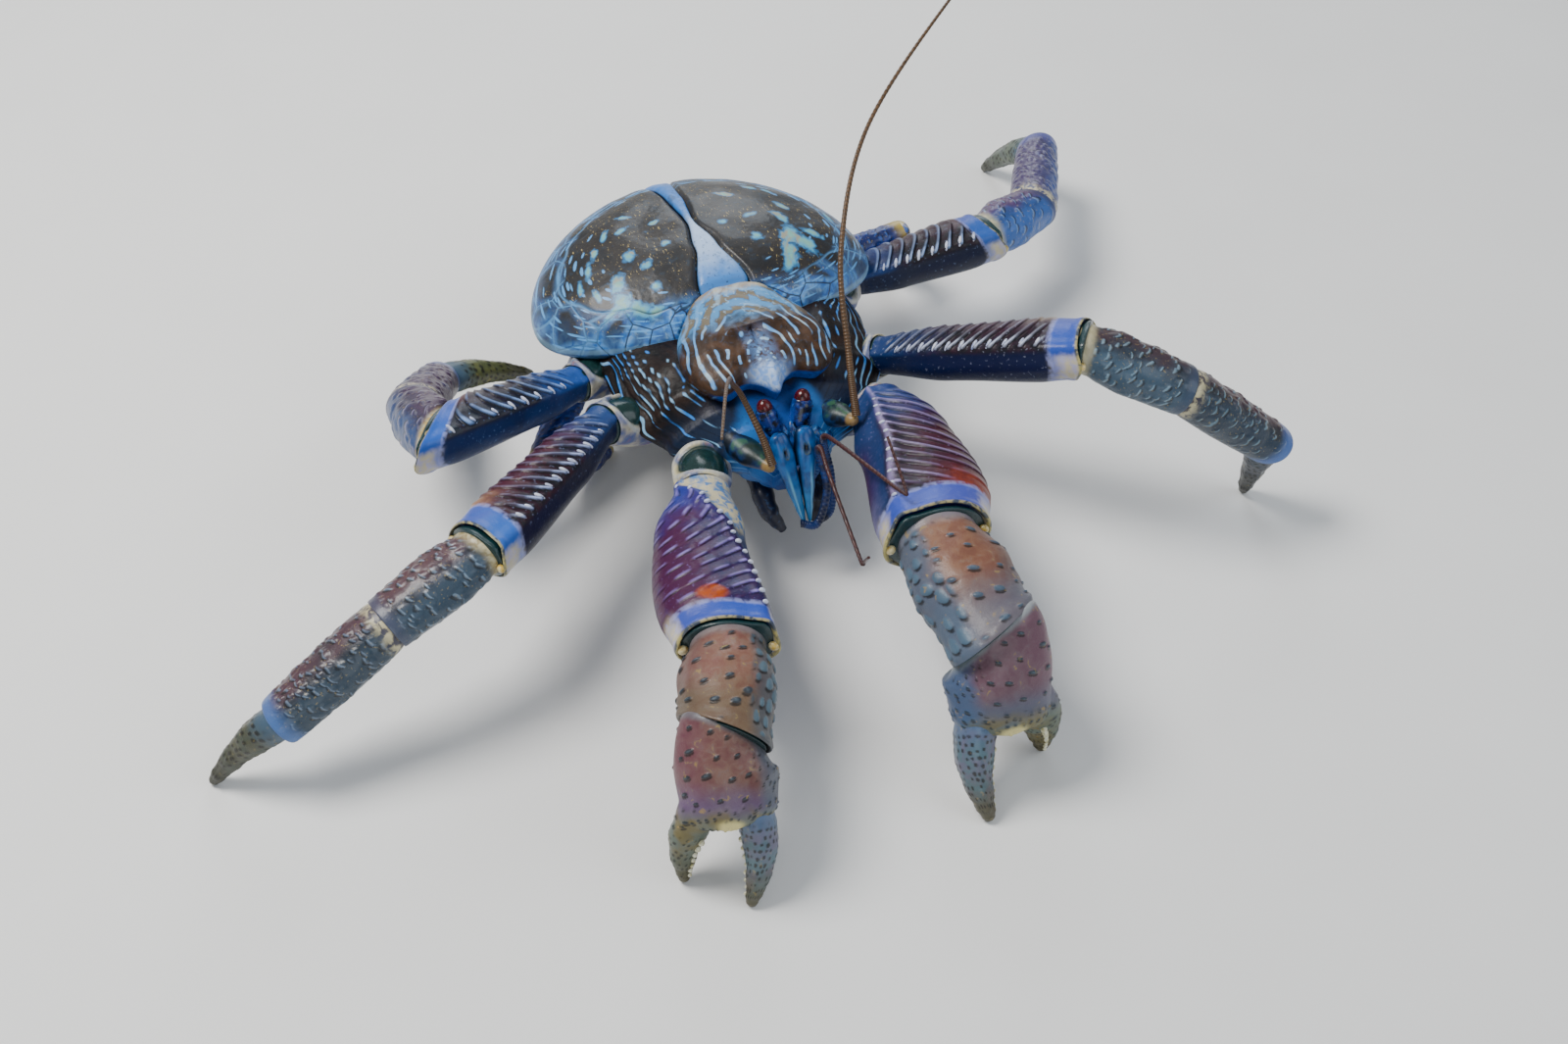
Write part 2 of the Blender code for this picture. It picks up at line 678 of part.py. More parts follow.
ANTENNULE_ROUTES = {
    "right": [(-2.6, -90.3, 22.6), (2.5, -92.5, 23.0), (7.5, -88.0, 33.0), (6.6, -82.5, 44.0),
              (6.4, -85.5, 48.0), (5.0, -95.0, 46.5), (1.4, -127.0, 42.0), (0.8, -132.0, 42.5),
              (0.6, -133.5, 45.0), (-2.0, -142.0, 56.0)],
    "left": [(3.2, -90.3, 21.0), (8.6, -89.0, 24.0), (10.6, -84.0, 34.0), (9.8, -79.5, 44.0),
             (10.0, -80.5, 48.5), (10.4, -92.0, 54.0), (12.6, -115.0, 61.5), (14.0, -130.0, 66.5),
             (14.4, -131.0, 69.0), (14.4, -117.0, 78.0)],
}
ANTENNA_ROUTES = {
    "right": [(-10.2, -85.2, 47.0), (-12.0, -80.5, 56.0), (-15.5, -72.5, 67.5), (-21.0, -79.0, 80.0),
              (-28.0, -96.0, 98.0), (-38.0, -120.0, 116.0), (-49.0, -146.0, 124.0)],
    "left": [(20.9, -79.8, 52.8), (23.5, -67.0, 67.0), (30.5, -43.0, 91.0), (53.7, -9.4, 110.0),
             (101.7, 34.0, 120.0), (128.0, 57.0, 117.0)],
}
ANTENNA_ROOTS = {
    "right": [(-17.0, -66.0, 43.5), (-10.6, -84.0, 45.0)],
    "left": [(16.0, -64.0, 44.0), (20.6, -78.5, 50.0)],
}


def make_antenna_base(name, side_name, thorax):
    root, tip = (mm(*p) for p in ANTENNA_ROOTS[side_name])
    rows = [(0.0, 4.6, 4.6), (0.45, 4.4, 4.0), (1.0, 2.0, 2.0)]
    bm = link(root, tip, SIDES[side_name], rows, count=10, round_end=False)
    return clear_of(place(name, bm, "blade"), thorax)


def make_maxilliped(name, side, thorax, neighbours):
    points = [mm(8.5 * side, -66.0, 27.0), mm(9.5 * side, -79.0, 21.5), mm(5.5 * side, -82.5, 13.5)]
    sizes = [(0.0, 4.2, 3.6), (0.5, 3.6, 3.2), (1.0, 1.4, 1.4)]
    path = curve_points(points, 8)
    rings = []
    for i, centre in enumerate(path):
        ahead = path[min(i + 1, 7)] - path[max(i - 1, 0)]
        front, up = cross_axes(ahead.normalized(), side)
        half = ease(sizes, i / 7)
        rings.append(section(centre, front, up, half[0] * MM, half[1] * MM, count=8))
    return clear_of(place(name, loft(rings), "base"), thorax, *neighbours)


# Limbs

BASE_ROWS = {
    "claw": [(0.0, 8.5, 8.0), (0.5, 9.2, 8.6), (1.0, 8.8, 8.0)],
    "second": [(0.0, 8.6, 7.8), (0.5, 9.2, 8.4), (1.0, 7.8, 7.2)],
    "third": [(0.0, 8.4, 7.0), (0.5, 8.8, 7.4), (1.0, 7.6, 6.6)],
}
MERUS_ROWS = {
    "claw": [(0.0, 7.8, 7.6), (0.32, 13.8, 10.4), (0.78, 16.8, 11.8), (1.0, 15.4, 11.2)],
    "second": [(0.0, 6.5, 6.6), (0.35, 10.0, 8.6), (0.85, 12.0, 9.4), (1.0, 11.6, 9.0)],
    "third": [(0.0, 6.2, 6.2), (0.35, 9.2, 8.0), (0.85, 11.0, 8.8), (1.0, 10.8, 8.4)],
}
CARPUS_ROWS = {
    "claw": [(0.0, 11.5, 9.8), (0.45, 14.4, 12.2), (1.0, 13.2, 11.6)],
    "second": [(0.0, 9.0, 7.6), (0.4, 10.2, 8.6), (1.0, 9.4, 8.0)],
    "third": [(0.0, 8.8, 7.4), (0.4, 10.4, 8.8), (1.0, 9.0, 7.8)],
}
PROPODUS_ROWS = {
    "second": [(0.0, 9.2, 7.8), (0.4, 9.4, 8.0), (0.9, 8.8, 7.4), (1.0, 8.6, 7.2)],
    "third": [(0.0, 8.8, 7.6), (0.4, 8.8, 7.6), (0.9, 8.0, 7.0), (1.0, 7.8, 6.8)],
}
DACTYL_ROWS = {
    "second": [(0.0, 6.6, 5.8), (0.3, 5.6, 5.0), (0.65, 3.8, 3.6), (0.9, 2.4, 2.4), (1.0, 1.9, 1.9)],
    "third": [(0.0, 6.2, 5.6), (0.3, 5.2, 4.8), (0.65, 3.7, 3.5), (0.9, 2.4, 2.4), (1.0, 1.9, 1.9)],
}
PALM_ROWS = [(0.0, 12.8, 11.2), (0.4, 15.0, 12.6), (0.8, 14.0, 11.4), (1.0, 12.4, 9.0)]
FINGER_ROWS = [(0.0, 6.2, 8.4), (0.35, 5.2, 6.8), (0.7, 3.7, 4.6), (0.9, 2.5, 2.8), (1.0, 2.0, 2.0)]
FOURTH_ROWS = [
    [(0.0, 5.0, 4.8), (0.5, 5.6, 5.2), (1.0, 5.0, 4.6)],
    [(0.0, 4.6, 4.2), (0.5, 4.8, 4.4), (1.0, 4.2, 4.0)],
    [(0.0, 4.2, 3.6), (0.4, 4.4, 3.6), (0.8, 2.9, 2.4), (1.0, 1.8, 1.8)],
]
RIDGE_COUNT = {"claw": 8, "second": 9, "third": 7}
RIDGE_LIFT = 0.55
TOOTH = {"claw": (1.8, 2.6), "second": (1.5, 2.3), "third": (1.4, 2.1)}
LEG_SCALES = [(-75, 65, 3, 0.25), (-50, 90, 3, 0.5), (-75, 65, 3, 0.75)]
CARPUS_SCALES = [(-75, 65, 3, 0.35), (-50, 90, 3, 0.7)]
CLAW_CARPUS_TUBERCLES = [(-80, 80, 4, 0.28), (-60, 100, 4, 0.52), (-80, 80, 4, 0.76)]
PALM_TUBERCLES = [(-85, 85, 4, 0.22), (-65, 105, 5, 0.5), (-85, 85, 5, 0.78)]


def scaled(rows, growth):
    return [(row[0], *(value * growth for value in row[1:])) for row in rows]


def settle(bm):
    """Flat foot: nothing reaches below the floor."""
    cut(bm, Vector((0.0, 0.0, 0.0)), Vector((0.0, 0.0, -1.0)))


def make_walking_leg(kind, side_name, thorax, carapace_form):
    side = SIDES[side_name]
    draw = random.Random(f"{kind} {side_name}")
    points = joints_of(kind, side_name)
    parts = [
        ("base", BASE_ROWS[kind], "base"),
        ("merus", MERUS_ROWS[kind], "limb"),
        ("carpus", CARPUS_ROWS[kind], "limb"),
        ("propodus", PROPODUS_ROWS[kind], "limb"),
        ("dactyl", DACTYL_ROWS[kind], "finger"),
    ]
    pieces = []
    for k, (part, rows, finish) in enumerate(parts):
        ridges = RIDGE_COUNT[kind] if part == "merus" else 0
        crest = 0.12 if part == "merus" else 0.0
        bow = UP * 2.5 if part == "dactyl" else None
        bm = link(points[k], points[k + 1], side, rows, crest=crest, ridges=ridges,
                  lift=RIDGE_LIFT, bow=bow, count=10 if part == "dactyl" else 12)
        cut_link(bm, points, k)
        if part == "dactyl":
            settle(bm)
        piece = place(f"{kind}_{side_name}_{part}", bm, finish)
        if part == "merus":
            count = RIDGE_COUNT[kind] + 1
            stud(piece, crest_spots(points[k], points[k + 1], side, count, *TOOTH[kind]))
        elif part in ("carpus", "propodus"):
            scales = CARPUS_SCALES if part == "carpus" else LEG_SCALES
            stud(piece, scatter_spots(points, k, side, scales, 1.5, 0.9, draw))
        pieces.append(piece)
    for near in pieces[:2]:
        apply_boolean(near, "DIFFERENCE", carapace_form)
        clear_of(near, thorax)
    return pieces


FINGER_TEETH = 4
CLAW_MERUS_BOW = 4.0
WRIST_LEAN = 0.42
FIXED_FINGER_TIPS = {"right": (-81.4, -193.0), "left": (37.5, -188.0)}


def wrist_plane(points, side):
    """Normal of the joint between carpus and palm: it leans, so the carpus is longer on its inner side."""
    normal = mitre(points, 3)
    return (normal - cross_axes(normal, side)[0] * WRIST_LEAN).normalized()


def make_claw(side_name, thorax):
    side = SIDES[side_name]
    draw = random.Random(f"claw {side_name}")
    growth = CLAW_GROWTH[side_name]
    points = joints_of("claw", side_name)
    base = link(points[0], points[1], side, BASE_ROWS["claw"])
    cut_link(base, points, 0)
    base = place(f"claw_{side_name}_base", base, "base")
    bow = cross_axes((points[2] - points[1]).normalized(), side)[0] * -CLAW_MERUS_BOW
    merus = link(points[1], points[2], side, scaled(MERUS_ROWS["claw"], growth), crest=0.14,
                 ridges=RIDGE_COUNT["claw"], lift=RIDGE_LIFT, bow=bow)
    cut_link(merus, points, 1)
    merus = place(f"claw_{side_name}_merus", merus, "limb")
    count = RIDGE_COUNT["claw"] + 2
    stud(merus, crest_spots(points[1], points[2], side, count, *TOOTH["claw"], bow=bow))
    carpus = link(points[2], points[3], side, scaled(CARPUS_ROWS["claw"], growth))
    elbow = mitre(points, 2)
    wrist = wrist_plane(points, side)
    cut(carpus, points[2] + elbow * GAP / 2, -elbow)
    cut(carpus, points[3] - wrist * GAP / 2, wrist)
    carpus = place(f"claw_{side_name}_carpus", carpus, "claw")
    stud(carpus, scatter_spots(points, 2, side, CLAW_CARPUS_TUBERCLES, 1.7, 1.5, draw, far=wrist))

    # The palm ends flat, and carries the fixed finger on the outer side
    palm_direction = (points[4] - points[3]).normalized()
    front, up = cross_axes(palm_direction, side)
    palm = link(points[3], points[4], side, scaled(PALM_ROWS, growth), count=14)
    cut(palm, points[3] + wrist * GAP / 2, -wrist)
    cut(palm, points[4], palm_direction)
    palm = place(f"claw_{side_name}_palm", palm, "claw")
    stud(palm, scatter_spots(points[:5], 3, side, PALM_TUBERCLES, 1.6, 1.3, draw, near=wrist))

    tip = FIXED_FINGER_TIPS[side_name]
    root = points[4] - front * 6.6 * growth * MM - palm_direction * 7.0 * MM
    end = mm(tip[0], tip[1], TIP_Z)
    finger = link(root, end, side, scaled(FINGER_ROWS, growth), count=10, bow=-front * 2.5)
    settle(finger)
    finger = place("fixed_finger", finger, "finger", CUTTERS)
    apply_boolean(palm, "UNION", finger)
    bpy.data.objects.remove(finger)
    keep_largest(palm)
    stud(palm, crest_spots(root, end, side, FINGER_TEETH, 1.9, 1.7, span=(0.45, 0.82), angle=90.0,
                           bow=-front * 2.5))

    # The movable finger starts beside it, on the inner side of the palm's end
    root = points[4] + front * 6.4 * growth * MM - palm_direction * 4.0 * MM
    finger = link(root, points[5], side, scaled(FINGER_ROWS, growth), count=10, bow=front * 2.5)
    cut(finger, points[4] + palm_direction * GAP, -palm_direction)
    settle(finger)
    dactyl = clear_of(place(f"claw_{side_name}_dactyl", finger, "finger"), palm)
    stud(dactyl, crest_spots(root, points[5], side, FINGER_TEETH, 1.9, 1.7, span=(0.42, 0.8),
                             angle=-90.0, bow=front * 2.5))
    clear_of(base, thorax)
    return [base, merus, carpus, palm, dactyl]


def make_fourth_leg(side_name, thorax, carapace_form, *neighbours):
    side = SIDES[side_name]
    points = joints_of("fourth", side_name)
    pieces = []
    chain = [points[0], *points[2:]]
    for k, part in enumerate(("upper", "shin", "pincer")):
        bm = link(chain[k], chain[k + 1], side, FOURTH_ROWS[k], count=10)
        cut_link(bm, chain, k)
        if part == "pincer":
            settle(bm)
        pieces.append(place(f"fourth_{side_name}_{part}", bm, "limb"))
    apply_boolean(pieces[0], "DIFFERENCE", carapace_form)
    clear_of(pieces[0], thorax, *neighbours)
    return pieces


def build_crab():
    thorax = make_thorax()
    shield = make_shield()
    clear_of(shield, thorax)
    carapace = make_carapace()
    carapace_form = grown(carapace)
    clear_of(carapace, thorax, shield)
    heart, domes = split_carapace(carapace)
    abdomen = make_abdomen()
    clear_of(abdomen, thorax, heart, *domes)
    for k, (first, last) in enumerate(PLATE_RINGS):
        make_abdomen_plate(f"tergite_{k + 1}", first, last)
    make_telson(abdomen)
    for name, side in SIDES.items():
        eye = make_eye("eye_" + name, side)
        clear_of(eye, thorax, shield)
        blade = make_blade("antennule_base_" + name, side)
        clear_of(blade, thorax)
        make_tube("antennule_" + name, ANTENNULE_ROUTES[name], [(0.0, 1.0), (0.45, 0.8), (1.0, 0.45)],
                  "feeler", samples=24)
        make_antenna_base("antenna_base_" + name, name, thorax)
        make_tube("antenna_" + name, ANTENNA_ROUTES[name], [(0.0, 1.2), (0.3, 0.95), (1.0, 0.4)],
                  "feeler", samples=22)
        claw = make_claw(name, thorax)
        make_maxilliped("maxilliped_" + name, side, thorax, [claw[0]])
        make_walking_leg("second", name, thorax, carapace_form)
        third = make_walking_leg("third", name, thorax, carapace_form)
        make_fourth_leg(name, thorax, carapace_form, *third[:2])
    bpy.data.objects.remove(carapace_form)


build_crab()
for piece in CRAB.objects:
    piece.data.transform(Matrix.Translation(STANCE_SHIFT))
    piece.data.shade_smooth()
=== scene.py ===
# %% [markdown]
# # A coconut crab in its shell
#
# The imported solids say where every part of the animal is. This script dresses them: each solid is
# replaced by a dense skin of the same form with the terraces, tubercles, teeth and scales of the
# real shell, and each skin gets a material made of nodes. Sizes are in millimetres, times MM.

import math
import random

import bmesh
import bpy
from mathutils import Matrix, Vector, noise


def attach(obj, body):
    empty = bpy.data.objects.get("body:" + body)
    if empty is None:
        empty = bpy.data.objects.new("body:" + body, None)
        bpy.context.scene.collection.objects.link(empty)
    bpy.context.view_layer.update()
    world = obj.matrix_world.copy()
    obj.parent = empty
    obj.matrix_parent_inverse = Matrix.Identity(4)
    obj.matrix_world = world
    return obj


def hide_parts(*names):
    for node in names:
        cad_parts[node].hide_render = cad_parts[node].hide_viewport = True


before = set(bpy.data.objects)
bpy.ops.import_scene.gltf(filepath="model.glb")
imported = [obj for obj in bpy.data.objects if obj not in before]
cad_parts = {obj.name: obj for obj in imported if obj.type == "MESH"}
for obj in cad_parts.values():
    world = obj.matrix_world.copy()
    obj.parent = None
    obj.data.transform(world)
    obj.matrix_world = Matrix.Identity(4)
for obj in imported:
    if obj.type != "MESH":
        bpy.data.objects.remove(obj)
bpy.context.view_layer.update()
print("solids:", len(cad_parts))

# %% [markdown]
# ## Stance
#
# The crab faces -Y with its left side at +X. The same named joints as in the solids give each limb a
# chain of points: the reach of the base from the hip, then a heading and a rise for each link. A rise
# of None is worked out so that the tip meets the floor.

# %% Joints of the limbs
MM = 0.001
UP = Vector((0.0, 0.0, 1.0))
SIDES = {"right": -1.0, "left": 1.0}
STANCE_SHIFT = Vector((18.5, 59.5, 0.0)) * MM
TIP_Z = 1.7
CLAW_GROWTH = {"right": 1.0, "left": 1.12}
HIPS = {
    "claw": (23.0, -53.0, 33.0),
    "second": (33.0, -36.0, 34.0),
    "third": (38.0, -8.0, 35.0),
    "fourth": (34.0, 17.0, 33.0),
}
LINK_LENGTHS = {
    "claw": (67.0, 33.5, 25.0, 25.5),
    "second": (75.0, 35.0, 42.5, 32.5),
    "third": (55.5, 31.0, 45.0, 39.0),
    "fourth": (36.0, 19.0, 22.0),
}
POSE = {
    ("claw", "right"): (32.4, [(-109, 13), (-104, 2), (-113, -1), (-105, -50), (-87, None)]),
    ("claw", "left"): (18.6, [(-48, 20), (-100, 10), (-87, -10), (-98, -62), (-123, None)]),
    ("second", "right"): (24.4, [(-159, 25), (-138, 7), (-163, -15), (-169, -28), (168, None)]),
    ("second", "left"): (18.9, [(-42, 33), (-47, 22), (-32, -21), (-14, -40), (81, None)]),
    ("third", "right"): (21.1, [(-147, 19), (-161, 9), (92, -20), (65, -30), (15, None)]),
    ("third", "left"): (21.0, [(39, -1), (2, 3), (28, -9), (61, -7), (103, None)]),
    ("fourth", "right"): (24.0, [(-128, -9), (-128, -9), (20, -48), (40, None)]),
    ("fourth", "left"): (13.0, [(8, 2), (8, 2), (60, -52), (110, None)]),
}


def mm(x, y, z):
    return Vector((x, y, z)) * MM


def heading(turn, rise):
    """Unit vector, turn degrees anticlockwise from +X and rise degrees up."""
    t = math.radians(turn)
    r = math.radians(rise)
    return Vector((math.cos(t) * math.cos(r), math.sin(t) * math.cos(r), math.sin(r)))


def joints_of(kind, side_name):
    """Points of a limb's chain, from the hip to the tip."""
    hip = HIPS[kind]
    reach, turns = POSE[(kind, side_name)]
    growth = CLAW_GROWTH[side_name] if kind == "claw" else 1.0
    points = [mm(hip[0] * SIDES[side_name], hip[1], hip[2])]
    lengths = [reach] + [length * growth for length in LINK_LENGTHS[kind]]
    for (turn, rise), length in zip(turns, lengths):
        if rise is None:
            fall = TIP_Z * MM - points[-1].z
            rise = math.degrees(math.asin(fall / (length * MM)))
        points.append(points[-1] + heading(turn, rise) * length * MM)
    return points


JOINTS = {key: joints_of(*key) for key in POSE}
print("limbs:", len(JOINTS), "claw tip at", tuple(round(c, 3) for c in JOINTS["claw", "right"][-1]))

# %% [markdown]
# ## Camera, floor and light
#
# The camera looks down at 45 degrees from in front and a little to the crab's right. The floor is a
# plain pale sheet, and four large soft lights keep the shell's gloss broad and quiet.

# %% Camera, floor and lights
CAMERA_PLACE = mm(-194.9, -551.9, 523.3)
CAMERA_AZIMUTH = 22.0
CAMERA_FALL = 45.0
FLOOR_HALF = 3.0
LIGHTS = [
    # name, place in metres, size, power, colour
    ("key", (-0.45, 0.25, 0.95), 0.5, 13.0, (1.0, 0.98, 0.95)),
    ("fill", (0.75, -0.55, 0.75), 0.9, 4.2, (0.86, 0.92, 1.0)),
    ("front", (-0.35, -0.95, 0.45), 0.7, 2.4, (0.92, 0.96, 1.0)),
    ("rear", (0.35, 0.95, 0.55), 0.6, 3.6, (0.88, 0.94, 1.0)),
]


def aim(thing, target):
    thing.rotation_euler = (target - thing.location).to_track_quat("-Z", "Y").to_euler()


def make_light(name, place, target, size, power, colour):
    lamp = bpy.data.lights.new(name, "AREA")
    lamp.shape = "DISK"
    lamp.size = size
    lamp.energy = power
    lamp.color = colour
    light = bpy.data.objects.new(name, lamp)
    bpy.context.scene.collection.objects.link(light)
    light.location = place
    aim(light, target)


camera = bpy.data.objects.new("camera", bpy.data.cameras.new("camera"))
bpy.context.scene.collection.objects.link(camera)
bpy.context.scene.camera = camera
camera.data.lens = 50.0
camera.data.sensor_width = 36.0
camera.data.clip_start = 0.01
camera.location = CAMERA_PLACE + STANCE_SHIFT
turn = math.radians(90.0 - CAMERA_AZIMUTH)
fall = math.radians(CAMERA_FALL)
view = Vector((math.cos(turn) * math.cos(fall), math.sin(turn) * math.cos(fall), -math.sin(fall)))
aim(camera, camera.location + view)

middle = Vector((0.0, 0.0, 0.04))
for name, place, size, power, colour in LIGHTS:
    make_light(name, Vector(place), middle, size, power, colour)
world = bpy.data.worlds.new("studio")
bpy.context.scene.world = world
world.use_nodes = True
world.node_tree.nodes["Background"].inputs["Color"].default_value = (0.86, 0.90, 0.95, 1.0)
world.node_tree.nodes["Background"].inputs["Strength"].default_value = 0.34
print("camera at", tuple(round(c, 3) for c in camera.location))

# %% [markdown]
# ## Materials as expressions
#
# A shell's colour is layers of masks and noise. Written node by node that is long, so a small class
# wraps a socket and gives it the plain operators: `1 - mask * 0.5` adds the Math nodes by itself. The
# masks come from marks, numbers that each skin stores on its points while it is shaped.

# %% Sockets that can be added and multiplied
MARKS = ("along", "above", "ahead", "relief", "line", "band", "face")


class Wire:
    """A number socket of a material with plain operators."""

    def __init__(self, paint, socket):
        self.paint = paint
        self.socket = socket

    def maths(self, operation, first, second):
        return self.paint.value("ShaderNodeMath", {"operation": operation}, {0: first, 1: second})

    def __add__(self, other):
        return self.maths("ADD", self, other)

    __radd__ = __add__

    def __mul__(self, other):
        return self.maths("MULTIPLY", self, other)

    __rmul__ = __mul__

    def __sub__(self, other):
        return self.maths("SUBTRACT", self, other)

    def __rsub__(self, other):
        return self.maths("SUBTRACT", other, self)

    def most(self, other):
        return self.maths("MAXIMUM", self, other)

    def least(self, other):
        return self.maths("MINIMUM", self, other)

    def wave(self):
        """Sine of the value, which is in turns, from 0 to 1."""
        turns = self * (2.0 * math.pi)
        return self.paint.value("ShaderNodeMath", {"operation": "SINE"}, {0: turns}) * 0.5 + 0.5

    def step(self, low, high):
        """Smooth 0 to 1 as the value goes from low to high."""
        settings = {"interpolation_type": "SMOOTHSTEP"}
        sockets = {"Value": self, "From Min": low, "From Max": high}
        return self.paint.value("ShaderNodeMapRange", settings, sockets, "Result")


class Paint:
    """A material under construction."""

    def __init__(self, name):
        self.material = bpy.data.materials.new(name)
        self.material.use_nodes = True
        self.nodes = self.material.node_tree.nodes
        self.links = self.material.node_tree.links
        self.shader = self.nodes["Principled BSDF"]
        self.place = self.node("ShaderNodeTexCoord").outputs["Object"]

    def node(self, kind, settings=None, sockets=None):
        """Any node: its settings are set first, then its sockets get a value or a link."""
        node = self.nodes.new(kind)
        for key, value in (settings or {}).items():
            setattr(node, key, value)
        for key, value in (sockets or {}).items():
            self.feed(node.inputs[key], value)
        return node

    def feed(self, socket, value):
        """Link a value to a socket, or set it there. A colour is three numbers or a six-digit code."""
        if isinstance(value, Wire):
            value = value.socket
        if isinstance(value, str):
            value = tint(value)
        if isinstance(value, bpy.types.NodeSocket):
            self.links.new(value, socket)
        elif isinstance(value, tuple) and len(value) == 3 and socket.type == "RGBA":
            socket.default_value = (*value, 1.0)
        else:
            socket.default_value = value

    def value(self, kind, settings, sockets, output=0):
        return Wire(self, self.node(kind, settings, sockets).outputs[output])

    def mark(self, name):
        return self.value("ShaderNodeAttribute", {"attribute_name": name}, {}, "Fac")

    def noise(self, size, detail=3.0, distortion=0.0, stretch=None):
        """Cloudy noise from 0 to 1 whose features are about size millimetres wide."""
        place = self.place
        if stretch:
            place = self.node("ShaderNodeMapping", {}, {"Vector": place, "Scale": stretch}).outputs[0]
        sockets = {"Vector": place, "Scale": 1000.0 / size, "Detail": detail, "Distortion": distortion}
        return self.value("ShaderNodeTexNoise", {}, sockets, "Fac")

    def cells(self, size, feature="F1"):
        """Cell pattern whose cells are about size millimetres wide."""
        sockets = {"Vector": self.place, "Scale": 1000.0 / size}
        return self.value("ShaderNodeTexVoronoi", {"feature": feature}, sockets, "Distance")

    def mix(self, share, first, second):
        """Blend of two colours, with share of the second."""
        node = self.nodes.new("ShaderNodeMix")
        node.data_type = "RGBA"
        self.feed(node.inputs[0], share)
        self.feed(node.inputs[6], first)
        self.feed(node.inputs[7], second)
        return node.outputs[2]

    def layers(self, base, *coats):
        """Colours laid over each other: each coat is a share and a colour."""
        for share, colour in coats:
            base = self.mix(share, base, colour)
        return base

    def finish(self, colour, roughness, bump=None, depth=0.3, coat=0.0, shine=0.4):
        """Connect the results. Depth is the height of the bumps in millimetres."""
        self.feed(self.shader.inputs["Base Color"], colour)
        self.feed(self.shader.inputs["Roughness"], roughness)
        self.shader.inputs["Specular IOR Level"].default_value = shine
        self.shader.inputs["Coat Weight"].default_value = coat
        self.shader.inputs["Coat Roughness"].default_value = 0.12
        if bump is not None:
            sockets = {"Height": bump, "Strength": 1.0, "Distance": depth * MM}
            self.feed(self.shader.inputs["Normal"], self.node("ShaderNodeBump", {}, sockets).outputs[0])
        return self.material


def tint(code):
    """Colour from a six-digit code as it looks on a screen, made linear for the shader."""
    parts = [int(code[i:i + 2], 16) / 255 for i in (0, 2, 4)]
    return tuple(c / 12.92 if c <= 0.04045 else ((c + 0.055) / 1.055) ** 2.4 for c in parts)


floor_paint = Paint("floor")
floor_cloud = floor_paint.noise(60.0, 4.0)
floor_colour = floor_paint.mix(floor_cloud, (0.80, 0.80, 0.785), (0.86, 0.86, 0.845))
floor_paint.finish(floor_colour, floor_cloud * 0.1 + 0.6)
bm = bmesh.new()
bmesh.ops.create_grid(bm, x_segments=2, y_segments=2, size=FLOOR_HALF)
floor_mesh = bpy.data.meshes.new("floor")
bm.to_mesh(floor_mesh)
bm.free()
floor = bpy.data.objects.new("floor", floor_mesh)
floor_mesh.materials.append(floor_paint.material)
bpy.context.scene.collection.objects.link(floor)
print("marks:", MARKS)

# %% [markdown]
# ## One skin for every form
#
# A limb, a plate and a feeler are all a sheet wrapped round a form. A grid is made with
# `create_grid`, every point is moved to where a shape function puts it, and the seam and the two
# poles are closed by merging doubles. The function also returns the marks for the material.

# %% Skin helper
SKINS = {}
MERGE_DISTANCE = 2e-6
DEGREES_IN_RADIAN = 57.3


def settle(name, bm, material, stands_for=()):
    """Make a finished bmesh an object that rides on the body and stands for its solids."""
    bmesh.ops.recalc_face_normals(bm, faces=bm.faces)
    mesh = bpy.data.meshes.new(name)
    bm.to_mesh(mesh)
    bm.free()
    piece = bpy.data.objects.new(name, mesh)
    bpy.context.scene.collection.objects.link(piece)
    mesh.materials.append(material)
    mesh.shade_smooth()
    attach(piece, "root")
    if stands_for:
        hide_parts(*stands_for)
    SKINS[name] = len(mesh.polygons)


def wrap(bm, around, along, shape):
    """Add a closed skin to a bmesh: shape(u, v) gives a place and its marks."""
    layers = {}
    for mark in MARKS:
        layers[mark] = bm.verts.layers.float.get(mark) or bm.verts.layers.float.new(mark)
    grid = bmesh.ops.create_grid(bm, x_segments=around, y_segments=along, size=0.5)
    for vert in grid["verts"]:
        place, marks = shape(vert.co.x + 0.5, vert.co.y + 0.5)
        vert.co = place + STANCE_SHIFT
        for mark, value in marks.items():
            vert[layers[mark]] = value
    bmesh.ops.remove_doubles(bm, verts=grid["verts"], dist=MERGE_DISTANCE)


def skin(name, around, along, shape, material, stands_for=()):
    """One wrapped skin as a piece of its own, with so many steps around and along."""
    bm = bmesh.new()
    wrap(bm, around, along, shape)
    settle(name, bm, material, stands_for)


def line(rows, t, smooth=False):
    """Read rows of (t, value, ...) at t, straight from row to row or with smooth turns."""
    if t <= rows[0][0]:
        return rows[0][1:]
    for a, b in zip(rows, rows[1:]):
        if t <= b[0]:
            k = (t - a[0]) / (b[0] - a[0])
            if smooth:
                k = k * k * (3.0 - 2.0 * k)
            return tuple(p + (q - p) * k for p, q in zip(a[1:], b[1:]))
    return rows[-1][1:]


def ease(rows, t):
    """Read rows at t with smooth turns at every row."""
    return line(rows, t, smooth=True)


def step(x, low, high):
    """Smooth 0 to 1 as x goes from low to high."""
    k = min(max((x - low) / (high - low), 0.0), 1.0)
    return k * k * (3.0 - 2.0 * k)


def between(x, start, full, fading, end):
    """0 to 1 from start to full, and back to 0 from fading to end."""
    return step(x, start, full) * (1.0 - step(x, fading, end))


def sine(angle):
    """Sine of an angle in degrees."""
    return math.sin(math.radians(angle))


def cosine(angle):
    return math.cos(math.radians(angle))


def arc_length(angle, radius):
    """Length of the arc of an angle in degrees."""
    return angle / DEGREES_IN_RADIAN * radius


def cloud_at(x, y, z):
    """Smooth noise from about -1 to 1."""
    return noise.noise(Vector((x, y, z)))


